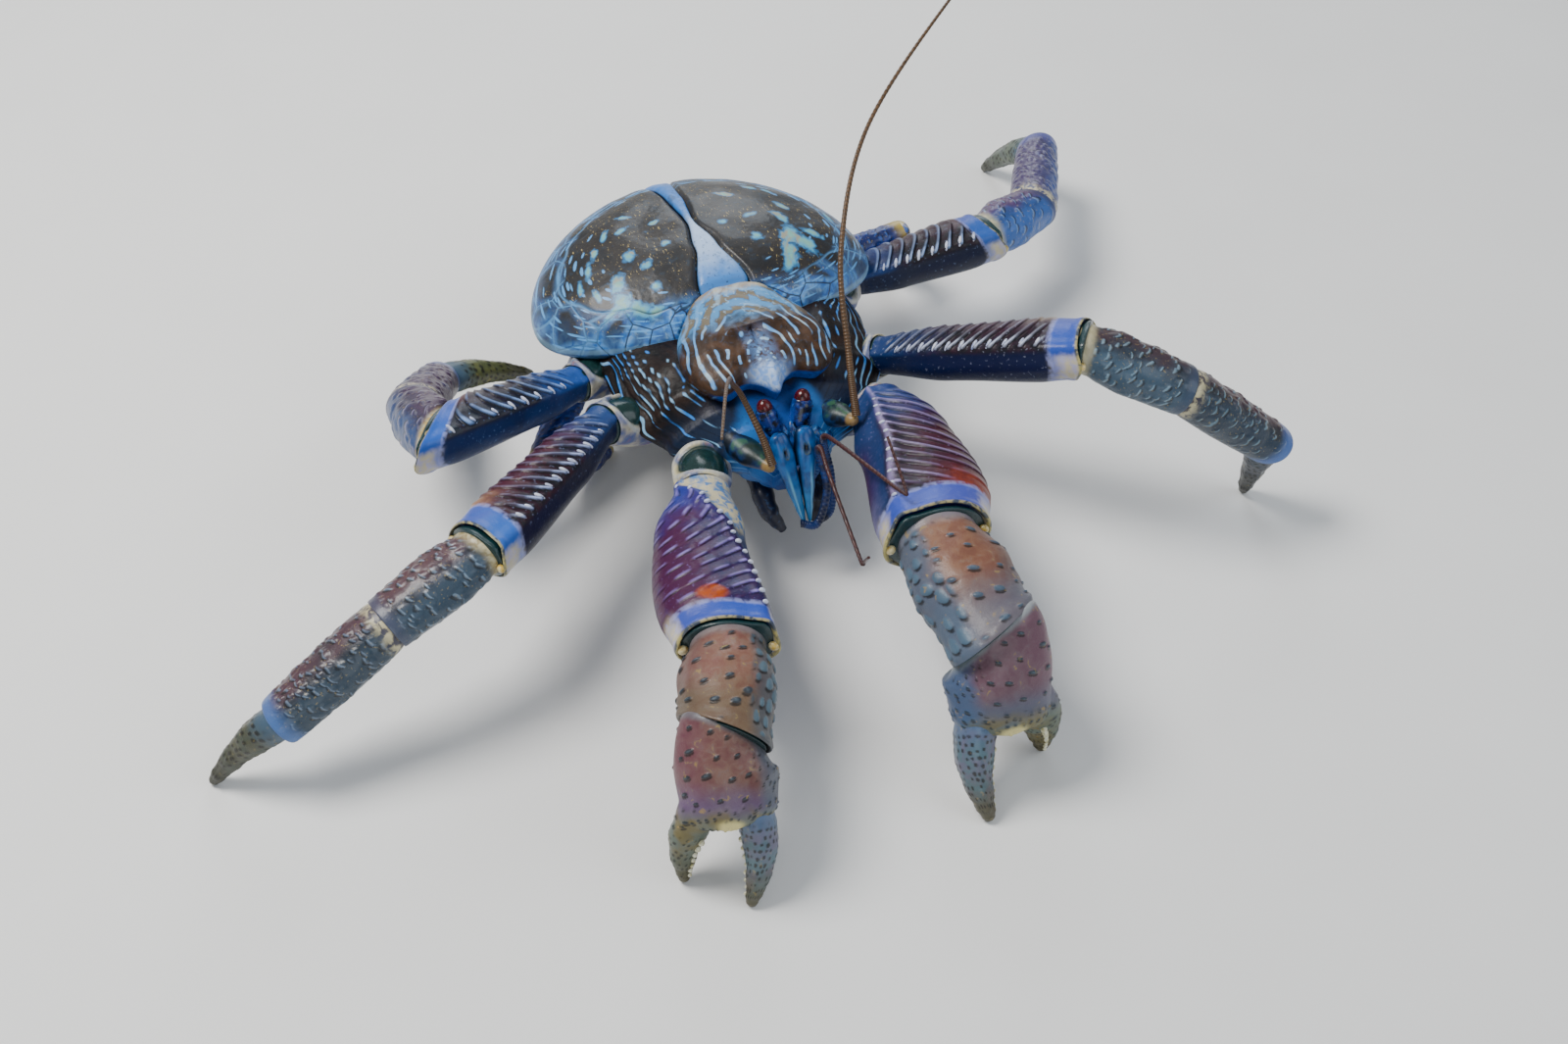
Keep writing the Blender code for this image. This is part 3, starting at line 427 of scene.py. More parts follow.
def chance_at(x, y, z):
    """Three random numbers from 0 to 1 that belong to one cell of space."""
    return noise.cell_vector(Vector((x, y, z)))


def spline(a, b, c, d, t):
    """Smooth curve from b to c, read at t from 0 to 1. a and d are the points before and after."""
    return 0.5 * (2 * b + (c - a) * t + (2 * a - 5 * b + 4 * c - d) * t ** 2
                  + (3 * b - a - 3 * c + d) * t ** 3)


def curve_at(points, s):
    """Smooth curve through points, read at s from 0 to 1."""
    padded = [2 * points[0] - points[1], *points, 2 * points[-1] - points[-2]]
    s = min(max(s, 0.0), 1.0) * (len(points) - 1)
    k = min(int(s), len(points) - 2)
    return spline(*padded[k:k + 4], s - k)


def loop_at(points, s):
    """Smooth closed curve through points, read at s from 0 to 1."""
    count = len(points)
    s = (s % 1.0) * count
    k = int(s) % count
    return spline(*(points[(k + i) % count] for i in (-1, 0, 1, 2)), s - int(s))


# %% [markdown]
# ## Limb links
#
# Each link is an oval tube between two joints. Its ends lean onto the plane that halves the bend, so
# neighbours meet face to face, and each far end is turned in like a cuff, out of which the next link
# grows. Angles run from the top (0) to the front (90) and the rear (-90).

# %% The limb link
CREST_ANGLE = 50.0
CREST_WIDTH = 13.0


def cross_axes(direction, side):
    """The forward and the upward direction across a limb that points along direction."""
    up = (UP - direction * direction.dot(UP)).normalized()
    return direction.cross(up) * side, up


class Link:
    """The line of one limb link and the axes across it."""

    def __init__(self, points, k, side, rows, crest=0.0, bow=None, growth=1.0, twist=None):
        self.start = points[k]
        self.end = points[k + 1]
        self.length = (self.end - self.start).length / MM
        self.direction = (self.end - self.start).normalized()
        self.front, self.up = cross_axes(self.direction, side)
        self.rows = [(row[0], *(value * growth for value in row[1:])) for row in rows]
        self.crest = crest
        self.bow = bow
        self.twist = twist or [(0.0, CREST_ANGLE)]
        self.near = self.far = None
        if k > 0:
            self.near = ((points[k] - points[k - 1]).normalized() + self.direction).normalized()
        if k + 2 < len(points):
            after = (points[k + 2] - points[k + 1]).normalized()
            self.far = (self.direction + after).normalized()

    def crest_at(self, t):
        """Angle of the crest at t along the link."""
        return ease(self.twist, t)[0]

    def reach(self, t, angle):
        """Distance from the middle line to the shell, in millimetres."""
        half_front, half_up = ease(self.rows, min(max(t, 0.0), 1.0))
        a = math.radians(angle)
        reach = 1.0 / math.hypot(math.sin(a) / half_front, math.cos(a) / half_up)
        off = (angle - self.crest_at(t) + 180.0) % 360.0 - 180.0
        return reach * (1.0 + self.crest * math.exp(-(off / CREST_WIDTH) ** 2))

    def way(self, angle):
        a = math.radians(angle)
        return self.front * math.sin(a) + self.up * math.cos(a)

    def place(self, t, angle, reach, far_back=0.0):
        """Point at t along the link and reach millimetres out."""
        out = self.way(angle) * (reach * MM)
        point = self.start + self.direction * (t * self.length * MM) + out
        if self.bow:
            point = point + self.bow * (math.sin(math.pi * min(max(t, 0.0), 1.0)) * MM)
        if self.near and t < 0.5:
            lean = -out.dot(self.near) / self.direction.dot(self.near)
            point = point + self.direction * (lean * (1.0 - step(t, 0.0, 0.5)))
        if self.far and t > 0.5:
            lean = -out.dot(self.far) / self.direction.dot(self.far) - far_back * MM
            point = point + self.direction * (lean * step(t, 0.5, 1.0))
        if point.z < 0.0:
            point.z = 0.0
        return point


def cuff_profile(length, tight_root=False, tight_end=False, tip=False):
    """Rows of (v, millimetres along, scale) that roll the two ends of a link."""
    if tight_root:
        rows = [(0.0, -2.4, 0.0), (0.02, -2.4, 0.6), (0.035, -1.4, 0.88), (0.05, -0.3, 0.945),
                (0.065, 0.8, 0.98), (0.09, 2.6, 1.0), (0.11, 5.0, 1.0)]
    else:
        rows = [(0.0, -3.2, 0.0), (0.02, -3.2, 0.5), (0.035, -2.4, 0.82), (0.05, -0.9, 0.93),
                (0.062, 0.3, 0.985), (0.075, 1.4, 0.985), (0.085, 2.2, 0.965), (0.11, 5.0, 1.0)]
    if tip:
        rows += [(0.95, length - 0.8, 1.0), (0.97, length + 0.4, 0.88), (0.988, length + 1.3, 0.52),
                 (1.0, length + 1.7, 0.0)]
    elif tight_end:
        rows += [(0.92, length - 2.6, 1.0), (0.945, length - 0.8, 0.995), (0.958, length - 0.2, 0.975),
                 (0.97, length - 0.4, 0.93), (0.985, length - 2.6, 0.82), (1.0, length - 3.1, 0.0)]
    else:
        rows += [(0.90, length - 3.8, 1.0), (0.92, length - 1.9, 1.01), (0.94, length - 0.6, 1.0),
                 (0.952, length - 0.2, 0.965), (0.968, length - 0.7, 0.93),
                 (0.985, length - 3.2, 0.84), (1.0, length - 3.7, 0.0)]
    return rows


def link_shape(link, relief, tight_root=False, tight_end=False, tip=False, crescent=0.0, lobe=0.0):
    """Shape function of a link. relief(t, angle) gives a rise in millimetres and marks.

    The far edge draws back by crescent on top, and lobe is how far it reaches out at both hinges.
    """
    profile = cuff_profile(link.length, tight_root, tight_end, tip)

    def shape(u, v):
        angle = 180.0 - 360.0 * u
        along, scale = line(profile, v)
        t = along / link.length
        reach = link.reach(t, angle)
        rise, marks = relief(t, angle)
        a = math.radians(angle)
        back = crescent * max(0.0, math.cos(a)) - lobe * abs(math.sin(a)) ** 10
        place = link.place(t, angle, reach * scale + rise * min(1.0, scale * 1.02), back)
        marks.update(along=t, above=math.cos(a), ahead=math.sin(a))
        return place, marks

    return shape


def crest_offset(angle, crest_angle):
    """Half turns from the crest over the top and the rear, 0 at the crest and 1 opposite it."""
    return ((crest_angle - angle) % 360.0) / 180.0


print("crest and the line opposite it:", crest_offset(50.0, 50.0), crest_offset(-130.0, 50.0))


# %% [markdown]
# ## Terraces, scales and tubercles
#
# The upper links carry slanting terraces like roof tiles. Each rises slowly towards the tip of the
# limb, drops sharply, and ends in a tooth on the crest. The links beyond carry scattered scales, and
# the claws blunt tubercles. Both are bumps in staggered cells with a random size and place in each.

# %% Relief of the shell
SCALES_FROM = 0.04
SCALES_TO = 0.93
UNDERSIDE_SHARE = 0.15


def terraces(link, pitch, slant, lift, start_mm, seed, dashes=0.0, white=0.16, fold_highlight=0.5, bend=1.1,
             collar=0.84, ridge=0.0):
    """Relief of the upper links: slanting folds from the crest over the top to the rear.

    A fold rises slowly towards the tip of the limb and drops sharply. With dashes the folds break
    up into that many short ones across the back. white is the share near the crest that is pale,
    the argument after it the strength of a painted highlight along the fold tops beyond it, and the
    smooth collar starts at the share collar of the length. ridge is the paleness of a thin unbroken
    ridge on the crest. Painted shade fills the groove under each fold's drop.
    """
    def relief(t, angle):
        w = crest_offset(angle, link.crest_at(t))
        d = t * link.length
        wobble = cloud_at(d * 0.10, w * 2.5, seed) * 0.8
        phase = (d - start_mm - slant * math.sin(math.pi * min(w * bend, 1.0)) + wobble) / pitch
        row = math.floor(phase)
        f = phase - row
        chance = chance_at(row + 0.5, seed, 0.5)
        cover = between(w, 0.0, 0.03, 0.62, 0.92)
        cover *= step(d, start_mm - 3.0, start_mm + 2.0) * (1.0 - step(t, collar - 0.04, collar + 0.03))
        ramp = (f / 0.80) ** 1.5 if f < 0.80 else (1.0 - step(f, 0.80, 0.97))
        height = 1.25 - 0.75 * step(w, 0.05, 0.5)
        if dashes:
            tile = math.sin(math.pi * ((w * dashes + 0.41 * (row % 3) + 0.3 * chance.x) % 1.0))
            low = 0.10
        else:
            break_up = cloud_at(w * 7.0, row * 3.7, seed)
            tile = 1.0 - 0.65 * step(break_up, 0.0, 0.35) * step(w, 0.12, 0.3)
            low = 0.35
        bump = ramp * (low + (1.0 - low) * tile ** 0.8) * cover
        # Top of each fold just before its drop: the pale tooth ends near the crest, beyond them a painted
        # highlight (shine)
        edge = between(f, 0.58, 0.72, 0.80, 0.90) * cover
        tooth = (1.0 - step(w, white * 0.6, white)) * step(w, 0.0, 0.02)
        shine = fold_highlight * (0.3 + 0.7 * chance.y) * step(tile, 0.4, 0.95) * (1.0 - step(w, 0.5, 0.8))
        # Painted shade in the groove under each fold's drop, kept as the relief mark
        under = step(f, 0.86, 0.93) * cover * (1.0 if f < 0.985 else 0.4)
        if dashes:
            under *= step(tile, 0.3, 0.8)
        comb = ridge * (1.0 - step(min(w, 2.0 - w), 0.0, 0.035)) * (1.0 - step(t, 0.86, 0.94))
        marks = {"relief": under, "line": max(edge * max(tooth, shine), comb),
                 "face": between(w, 1.0, 1.25, 1.93, 1.985),
                 "band": step(t, collar, collar + 0.05)}
        hollow = between(t, collar - 0.02, collar + 0.06, 0.94, 0.98)
        return lift * height * bump - 0.3 * hollow + 0.4 * comb, marks
    return relief


def scales(x, y, pitch_x, pitch_y, seed, long=0.55, wide=0.42, jitter=0.3, drop=0.55, spare=0.0,
           slant=0.25):
    """Bumps from 0 to 1 in staggered cells on an unrolled skin, steeper on the far side.

    spare is the share of cells that stay empty, slant how much the bumps lean over.
    """
    row = math.floor(x / pitch_x)
    best = 0.0
    for i in (row - 1, row, row + 1):
        shift = 0.5 * (i % 2)
        column = math.floor(y / pitch_y - shift)
        for j in (column - 1, column, column + 1):
            chance = chance_at(i * 1.37 + 0.5, j * 2.11 + 0.5, seed)
            if (chance.z * 7.0) % 1.0 < spare:
                continue
            size = 0.7 + 0.6 * chance.z
            dx = x - (i + 0.5 + jitter * (chance.x - 0.5)) * pitch_x
            dy = y - (j + 0.5 + shift + jitter * (chance.y - 0.5)) * pitch_y
            dx += dy * slant
            dx /= pitch_x * long * size * (drop if dx > 0 else 1.0)
            dy /= pitch_y * wide * size
            best = max(best, 1.0 - dx * dx - dy * dy)
    return best


def scaly(pitch_x, pitch_y, lift, length, seed, radius=9.0, **form):
    """Relief of the links beyond: low scales with a painted highlight on their far rim and painted shadow
    beyond it, weaker on the underside.
    """
    def relief(t, angle):
        d = t * length
        y = arc_length(angle, radius)
        d += cloud_at(d * 0.2, y * 0.2, seed + 5.0) * 1.6

        def field(x):
            return max(scales(x, y, pitch_x, pitch_y, seed, **form), 0.0) ** 0.75

        bump = field(d)
        weak = UNDERSIDE_SHARE + (1.0 - UNDERSIDE_SHARE) * step(cosine(angle - 20.0), -0.45, 0.25)
        cover = between(t, SCALES_FROM, SCALES_FROM + 0.08, SCALES_TO - 0.06, SCALES_TO) * weak
        # Painted highlight on the steep far rim of each scale, and painted shadow just beyond it
        rim = step(bump - field(d + 0.55), 0.10, 0.45) * cover
        shadow = step(field(d - 0.6) - bump, 0.08, 0.45) * cover
        lump = cloud_at(d * 0.16, y * 0.16, seed) * 0.5
        band = max(1.0 - step(t, 0.02, 0.09), step(t, 0.90, 0.96))
        front = step(sine(angle), 0.1, 0.8)
        # line: painted highlight on the rims, with each scale a little paler; relief: painted shadow
        marks = {"relief": shadow, "line": max(rim, bump * cover * 0.3), "band": band, "face": front}
        return lift * bump * cover + lump * cover, marks
    return relief


def smooth_link(t, angle):
    """Relief of a link without bumps, with a pale band at both ends."""
    band = max(1.0 - step(t, 0.03, 0.14), step(t, 0.88, 0.95))
    return 0.0, {"band": band, "face": step(sine(angle), 0.1, 0.7)}


def windowed(length, at_mm=9.0, angle_at=18.0, half_mm=6.5, half_angle=42.0):
    """A base link with a smooth dark window of soft skin in its upper side, inside a raised rim."""
    def relief(t, angle):
        along = (t * length - at_mm) / half_mm
        across = ((angle - angle_at + 180.0) % 360.0 - 180.0) / half_angle
        far = math.hypot(along, across)
        window = 1.0 - step(far, 0.88, 1.0)
        rim = math.exp(-((far - 1.12) / 0.14) ** 2)
        lump = cloud_at(t * length * 0.2, angle * 0.02, 3.0)
        dome = 1.0 - min(far, 1.0) ** 2
        marks = {"line": window, "band": rim, "face": step(sine(angle), 0.1, 0.7)}
        return 0.7 * rim + lump * 0.5 * (1.0 - window) + window * (1.2 * dome - 0.9), marks
    return relief


print("sample scale:", round(scales(3.0, 2.0, 4.0, 3.5, 1.0), 3))

# %% [markdown]
# ## Shell paints
#
# The upper links run from blue at the root through slate with a maroon blush to an orange patch and a
# blue cuff. The folds have pale ends on the crest, a painted highlight along their tops and painted
# shade in the grooves under them. One recipe takes these colours, and every link gets its own set.

# %% Limb paints
CREAM = "cdc39a"
LILAC = "9ca4dc"
NAVY = "10173a"
LAVENDER = "4452a8"
NIGHT = "08090d"
DEEP_GREEN = "06201f"
WHITE = "dfe3f0"


def upper_paint(name, root, ground, blush, face, glint, cuff, warm, face_root=None, spot=None, belly=None):
    """Glossy shell of the upper links, with the colours from the root to the cuff.

    The warm patch lies at the rear before the cuff, or with spot in one oval given by its place
    along and ahead and its two half sizes. face_root is a paler colour of the inner side's root,
    belly a patch lower down on that side with pale violet beyond it.
    """
    paint = Paint(name)
    along, above, ahead = paint.mark("along"), paint.mark("above"), paint.mark("ahead")
    cloud = paint.noise(11.0, 5.0, 0.8)
    fine = paint.noise(2.4, 4.0, 0.5)
    grain = paint.noise(0.5, 3.0)
    speck = paint.noise(1.1, 2.0).step(0.64, 0.70)
    rearness = (above * 0.5 - ahead * 0.8 + (cloud - 0.5) * 1.8).step(0.1, 0.9)
    if spot:
        at, across, half_along, half_across = spot
        near_x = (along - at + (cloud - 0.5) * 0.03) * (1.0 / half_along)
        near_y = (ahead - across) * (1.0 / half_across)
        patch = (1.0 - (near_x * near_x + near_y * near_y).step(0.35, 1.1)) * above.step(0.0, 0.3)
    else:
        patch = (along + (cloud - 0.5) * 0.12).step(0.70, 0.82) * 0.8
        patch = patch * ((cloud - 0.5) * 1.2 - ahead).step(0.05, 0.75)
    face_colour = paint.mix(cloud, face, NAVY)
    if face_root:
        share = 1.0 - (along + (cloud - 0.5) * 0.2).step(0.28, 0.46)
        face_colour = paint.mix(share, face_colour, paint.mix(fine.step(0.40, 0.62), CREAM, face_root))
    if belly:
        low = 1.0 - (above + (cloud - 0.5) * 0.6).step(-0.1, 0.55)
        middle = along.step(0.25, 0.50) * (1.0 - along.step(0.66, 0.86))
        face_colour = paint.layers(face_colour, (low * middle * 0.85, belly),
                                   (low * along.step(0.66, 0.90) * 0.8, "8f86ac"))
    colour = paint.layers(
        paint.mix(fine.step(0.3, 0.75), ground, paint.mix(0.5, ground, blush)),
        (rearness * 0.85, blush),
        ((1.0 - (along + (cloud - 0.5) * 0.35).step(0.08, 0.40)) * 0.9, root),
        ((cloud * 0.6 + fine * 0.4).step(0.56, 0.72) * 0.45, face),
        (paint.mark("face") * (0.75 + fine * 0.3).least(1.0), face_colour),
        # Painted shade in the grooves under the folds; then the pale tooth ends and crest ridge, with a
        # painted highlight along the fold tops, in the glint colour
        (paint.mark("relief") * 0.75, NIGHT),
        (paint.mark("line") * (fine * 0.5 + 0.62).least(1.0), glint),
        (speck * 0.2, glint),
        (patch, paint.mix(fine.step(0.35, 0.7), warm, paint.mix(0.5, warm, blush))),
    )
    band = (paint.mark("band") + (cloud - 0.5) * 0.5 + (fine - 0.5) * 0.2).step(0.30, 0.85)
    cuff_colour = paint.mix(rearness * 0.6, cuff, LAVENDER)
    cuff_colour = paint.mix(fine.step(0.50, 0.8) * 0.12, cuff_colour, LILAC)
    colour = paint.mix(band * 0.95, colour, cuff_colour)
    glimmer = (paint.mark("band") * (1.0 - paint.mark("band"))).step(0.05, 0.25)
    colour = paint.mix(glimmer * fine.step(0.3, 0.6) * 0.5, colour, LILAC)
    lobe = (ahead * ahead + (fine - 0.5) * 0.2).step(0.72, 0.92)
    lobe = lobe * (along + (cloud - 0.5) * 0.06).step(0.84, 0.93)
    colour = paint.mix(lobe * 0.85, colour, paint.mix(fine.step(0.4, 0.65), CREAM, "b8b4c8"))
    rim = (along + (fine - 0.5) * 0.012).step(0.978, 0.988)
    colour = paint.mix(rim * 0.85, colour, paint.mix(fine.step(0.42, 0.58), "a89c58", "3c4434"))
    rough = grain * 0.14 + 0.24 + speck * 0.12 + fine * 0.08
    return paint.finish(colour, rough, grain * 0.35 + fine * 0.65, 0.22, 0.05, 0.25)


def scaly_paint(name, ground, blush, front, scale_highlight, end_tone, start_tone, dark=0.7):
    """Duller shell of the links beyond: pale scales with a painted highlight on their far rims, and painted
    shadow in the grooves beyond them.
    """
    paint = Paint(name)
    along, above, ahead = paint.mark("along"), paint.mark("above"), paint.mark("ahead")
    cloud = paint.noise(12.0, 5.0, 0.9)
    fine = paint.noise(2.2, 4.0, 0.6)
    grain = paint.noise(0.5, 3.0)
    speck = paint.noise(0.9, 2.0).step(0.63, 0.69)
    rearness = (above * 0.7 - ahead * 0.7 + (cloud - 0.5) * 1.6).step(0.1, 0.9)
    frontness = (ahead - above * 0.15 + (cloud - 0.5) * 1.4).step(0.2, 0.9)
    colour = paint.layers(
        paint.mix(fine.step(0.3, 0.7), ground, paint.mix(0.35, ground, NIGHT)),
        (rearness * 0.85, paint.mix(fine, blush, paint.mix(0.4, blush, ground))),
        (frontness * 0.8, front),
        (cloud.step(0.60, 0.72) * 0.35, front),
        # Pale scales with a painted highlight on their rims, then painted shadow beyond them
        (paint.mark("line").step(0.15, 0.9) * (fine * 0.9 + 0.1), scale_highlight),
        (paint.mark("relief") * dark, NIGHT),
        (speck * 0.30, "b09a5a"),
    )
    end = (along + (cloud - 0.5) * 0.10).step(0.84, 0.96)
    start = 1.0 - (along + (cloud - 0.5) * 0.10 + (fine - 0.5) * 0.05).step(0.02, 0.13)
    colour = paint.mix(end * 0.75, colour, end_tone)
    colour = paint.mix(start * 0.85, colour, paint.mix(fine.step(0.4, 0.6), start_tone, CREAM))
    rough = grain * 0.16 + 0.26 + speck * 0.1 + fine * 0.08
    return paint.finish(colour, rough, grain * 0.35 + fine * 0.65, 0.25, 0.18)


def base_link_paint(name):
    """Cream and blue shell round the dark green window of the leg roots."""
    paint = Paint(name)
    cloud = paint.noise(9.0, 5.0, 0.9)
    fine = paint.noise(1.6, 4.0, 0.5)
    colour = paint.layers(
        paint.mix(cloud.step(0.40, 0.60), CREAM, "56648c"),
        (fine.step(0.55, 0.70) * 0.5, "8a7a48"),
        (cloud.step(0.58, 0.66) * 0.6, "a8683a"),
        (paint.mark("face") * cloud * 0.9, "2c4488"),
        (paint.mark("band").step(0.4, 0.95) * 0.6, "b4b8b8"),
        (paint.mark("line"), paint.mix(fine, "0a1a1a", "1c3c3a")),
    )
    rough = 0.38 - paint.mark("line") * 0.22 + fine * 0.1
    return paint.finish(colour, rough, fine * (1.0 - paint.mark("line") * 0.8), 0.25, 0.2)


print("cream as the shader gets it:", tuple(round(part, 3) for part in tint(CREAM)))

# %% [markdown]
# ## Walking legs
#
# The second and third legs have five links each. The base is cream with a green soft window, the long
# link beyond it (the merus) carries the terraces and the crest of teeth, then come two scaly links and
# the curved toe.

# %% Rows of the leg links
BASE_ROWS = {
    "claw": [(0.0, 8.5, 8.0), (0.5, 9.2, 8.6), (1.0, 8.8, 8.0)],
    "second": [(0.0, 8.6, 7.8), (0.5, 9.2, 8.4), (1.0, 7.8, 7.2)],
    "third": [(0.0, 8.4, 7.0), (0.5, 8.8, 7.4), (1.0, 7.6, 6.6)],
}
MERUS_ROWS = {
    "claw": [(0.0, 9.2, 7.8), (0.28, 14.2, 10.4), (0.78, 17.0, 11.8), (1.0, 15.6, 11.2)],
    "second": [(0.0, 6.5, 6.6), (0.35, 10.0, 8.6), (0.85, 12.0, 9.4), (1.0, 11.6, 9.0)],
    "third": [(0.0, 6.2, 6.2), (0.35, 9.2, 8.0), (0.85, 11.0, 8.8), (1.0, 10.8, 8.4)],
}
CARPUS_ROWS = {
    "claw": [(0.0, 11.5, 9.8), (0.45, 14.4, 12.2), (1.0, 13.2, 11.6)],
    "second": [(0.0, 9.0, 7.6), (0.4, 10.2, 8.6), (1.0, 9.4, 8.0)],
    "third": [(0.0, 8.8, 7.4), (0.4, 10.4, 8.8), (1.0, 9.0, 7.8)],
}
PROPODUS_ROWS = {
    "second": [(0.0, 9.2, 7.8), (0.4, 9.4, 8.0), (0.9, 8.8, 7.4), (1.0, 8.6, 7.2)],
    "third": [(0.0, 8.8, 7.6), (0.4, 8.8, 7.6), (0.9, 8.0, 7.0), (1.0, 7.8, 6.8)],
}
DACTYL_ROWS = {
    "second": [(0.0, 6.6, 5.8), (0.3, 5.6, 5.0), (0.65, 3.8, 3.6), (0.9, 2.4, 2.4), (1.0, 1.9, 1.9)],
    "third": [(0.0, 6.2, 5.6), (0.3, 5.2, 4.8), (0.65, 3.7, 3.5), (0.9, 2.4, 2.4), (1.0, 1.9, 1.9)],
}
PALM_ROWS = [(0.0, 12.2, 10.6), (0.4, 15.0, 12.4), (0.8, 14.0, 11.4), (1.0, 12.4, 9.0)]
FINGER_ROWS = [(0.0, 6.2, 8.4), (0.35, 5.2, 6.8), (0.7, 3.7, 4.6), (0.9, 2.5, 2.8), (1.0, 2.0, 2.0)]
FOURTH_ROWS = [
    [(0.0, 5.0, 4.8), (0.5, 5.6, 5.2), (1.0, 5.0, 4.6)],
    [(0.0, 4.6, 4.2), (0.5, 4.8, 4.4), (1.0, 4.2, 4.0)],
    [(0.0, 4.2, 3.6), (0.4, 4.4, 3.6), (0.8, 2.9, 2.4), (1.0, 1.8, 1.8)],
]
print("widest half width:", max(row[1] for rows in MERUS_ROWS.values() for row in rows), "mm")

# %% [markdown]
# ## Joints and teeth
#
# At a joint the shell stops, and dark soft skin closes the cuff. Folded cloth could stand for it, but
# only its edge shows, so a rounded pad is enough. The two knobs that a joint turns on and the teeth are
# small balls, stretched and turned, and all those of one kind on a limb become one piece.

# %% Soft skin, hinge knobs and teeth
PAD_INSIDE = 6.0
PAD_OUTSIDE = 0.8
KNOB_DEPTH = 0.86
membrane_paint = Paint("joint_skin")
membrane_cloud = membrane_paint.noise(3.0, 4.0)
membrane_fold = membrane_paint.noise(0.8, 2.0, 1.5)
membrane_colour = membrane_paint.mix(membrane_cloud, DEEP_GREEN, "123a40")
membrane_paint.finish(membrane_colour, membrane_fold * 0.1 + 0.25, membrane_fold, 0.15, 0.3)


def plain_paint(name, size, detail, low, high, first, second, rough, depth, coat, flecks=None):
    """Two tones in clouds; flecks adds a third, given by its size, detail, limits, share and tone."""
    paint = Paint(name)
    cloud = paint.noise(size, detail)
    colour = paint.mix(cloud.step(low, high), first, second)
    if flecks:
        fleck_size, fleck_detail, start, full, share, tone = flecks
        colour = paint.mix(paint.noise(fleck_size, fleck_detail).step(start, full) * share, colour, tone)
    return paint.finish(colour, cloud * rough[0] + rough[1], cloud, depth, coat)


knob_material = plain_paint("hinge_horn", 2.0, 3.0, 0.35, 0.65, "d8cfa4", "c2a040", (0.15, 0.25), 0.1, 0.3,
                            (1.0, 2.0, 0.58, 0.66, 0.5, "6a5a3a"))
tooth_material = plain_paint("teeth", 1.6, 3.0, 0.3, 0.75, "dfe2ee", "8f9cc8", (0.15, 0.22), 0.06, 0.3)
biting_material = plain_paint("biting_teeth", 1.4, 3.0, 0.35, 0.7, "e4e2cc", "b8b078", (0.15, 0.25), 0.06,
                              0.25)


def add_ball(bm, place, turn_to, half_sizes, segments, rings):
    """A ball with three half sizes in millimetres, turned and put in its place."""
    size = Matrix.Diagonal((*(value * MM for value in half_sizes), 1.0))
    bmesh.ops.create_uvsphere(bm, u_segments=segments, v_segments=rings, radius=1.0,
                              matrix=Matrix.Translation(place + STANCE_SHIFT) @ turn_to.to_4x4() @ size)


def add_drop(bm, place, axis, radius, height, segments=10, rings=7):
    """A rounded drop of the given radius that reaches height to both sides along axis."""
    turn_to = UP.rotation_difference(axis.normalized()).to_matrix()
    add_ball(bm, place, turn_to, (radius, radius, height), segments, rings)


def add_ridge(bm, place, along, out, half_sizes, segments=12, rings=8):
    """A rounded bean whose half sizes run along the ridge, out of the shell and across it."""
    across = along.cross(out).normalized()
    out = across.cross(along).normalized()
    turn_to = Matrix((along.normalized(), out, across)).transposed()
    add_ball(bm, place, turn_to, half_sizes, segments, rings)


def add_membrane(bm, link, fill):
    """Soft pad that closes the cuff at the far end of a link."""
    def shape(u, v):
        angle = 360.0 * u
        polar = math.pi * v
        depth = -math.cos(polar) * (PAD_INSIDE if v < 0.5 else PAD_OUTSIDE)
        reach = link.reach(1.0, angle) * fill * math.sin(polar) ** 0.6
        out = link.way(angle) * (reach * MM)
        lean = -out.dot(link.far) / link.direction.dot(link.far)
        return link.end + out + link.direction * (lean + depth * MM), {}
    wrap(bm, 48, 20, shape)


def add_knobs(bm, link, radius):
    """Two hinge knobs, one on the front and one on the rear of a link's far end."""
    for angle in (90.0, -90.0):
        place = link.place(1.0, angle, link.reach(1.0, angle) * KNOB_DEPTH, -1.0)
        add_drop(bm, place, link.way(angle) + link.direction * 0.5, radius, radius * 1.2, 14, 9)


def add_crest_teeth(bm, link, pitch, start_mm, half_sizes, seed, last=0.84, aside=8.0):
    """Pale ends of the folds: a row of beans that cross the crest aslant."""
    draw = random.Random(seed)
    w = aside / 180.0
    row = 0
    while True:
        d = start_mm + pitch * (row + 0.72)
        d -= cloud_at(d * 0.10, w * 2.5, seed) * 0.8
        t = d / link.length
        if t > last:
            break
        angle = link.crest_at(t) - aside
        size = (0.6 + 0.4 * step(t, 0.05, 0.35)) * draw.uniform(0.9, 1.12)
        place = link.place(t, angle, link.reach(t, angle) + 0.35)
        out = link.way(angle)
        along = link.way(angle - 90.0) * 0.92 + link.direction * 0.45
        add_ridge(bm, place, along, out, [value * size for value in half_sizes])
        row += 1


def add_finger_teeth(bm, link, pitch, first, last, angle, size, seed):
    """Blunt white teeth in a row along the biting edge of a finger."""
    draw = random.Random(seed)
    t = first
    while t < last:
        scale = size * (1.15 - 0.6 * t) * draw.uniform(0.85, 1.15)
        place = link.place(t, angle, link.reach(t, angle) - 0.1)
        add_drop(bm, place, link.way(angle) + link.direction * 0.3, scale, scale * 1.15)
        t += pitch * (1.2 - 0.5 * t) / link.length


print("paints so far:", len(bpy.data.materials))

# %% [markdown]
# ## Colours link by link
#
# No two legs of the animal have quite the same colours, so each link has its own row of six-digit
# screen codes. Painted textures would hold more detail, but a row of codes is easy to read and change.
# The toes are plainer than the links: muted shell with many small dark pits.

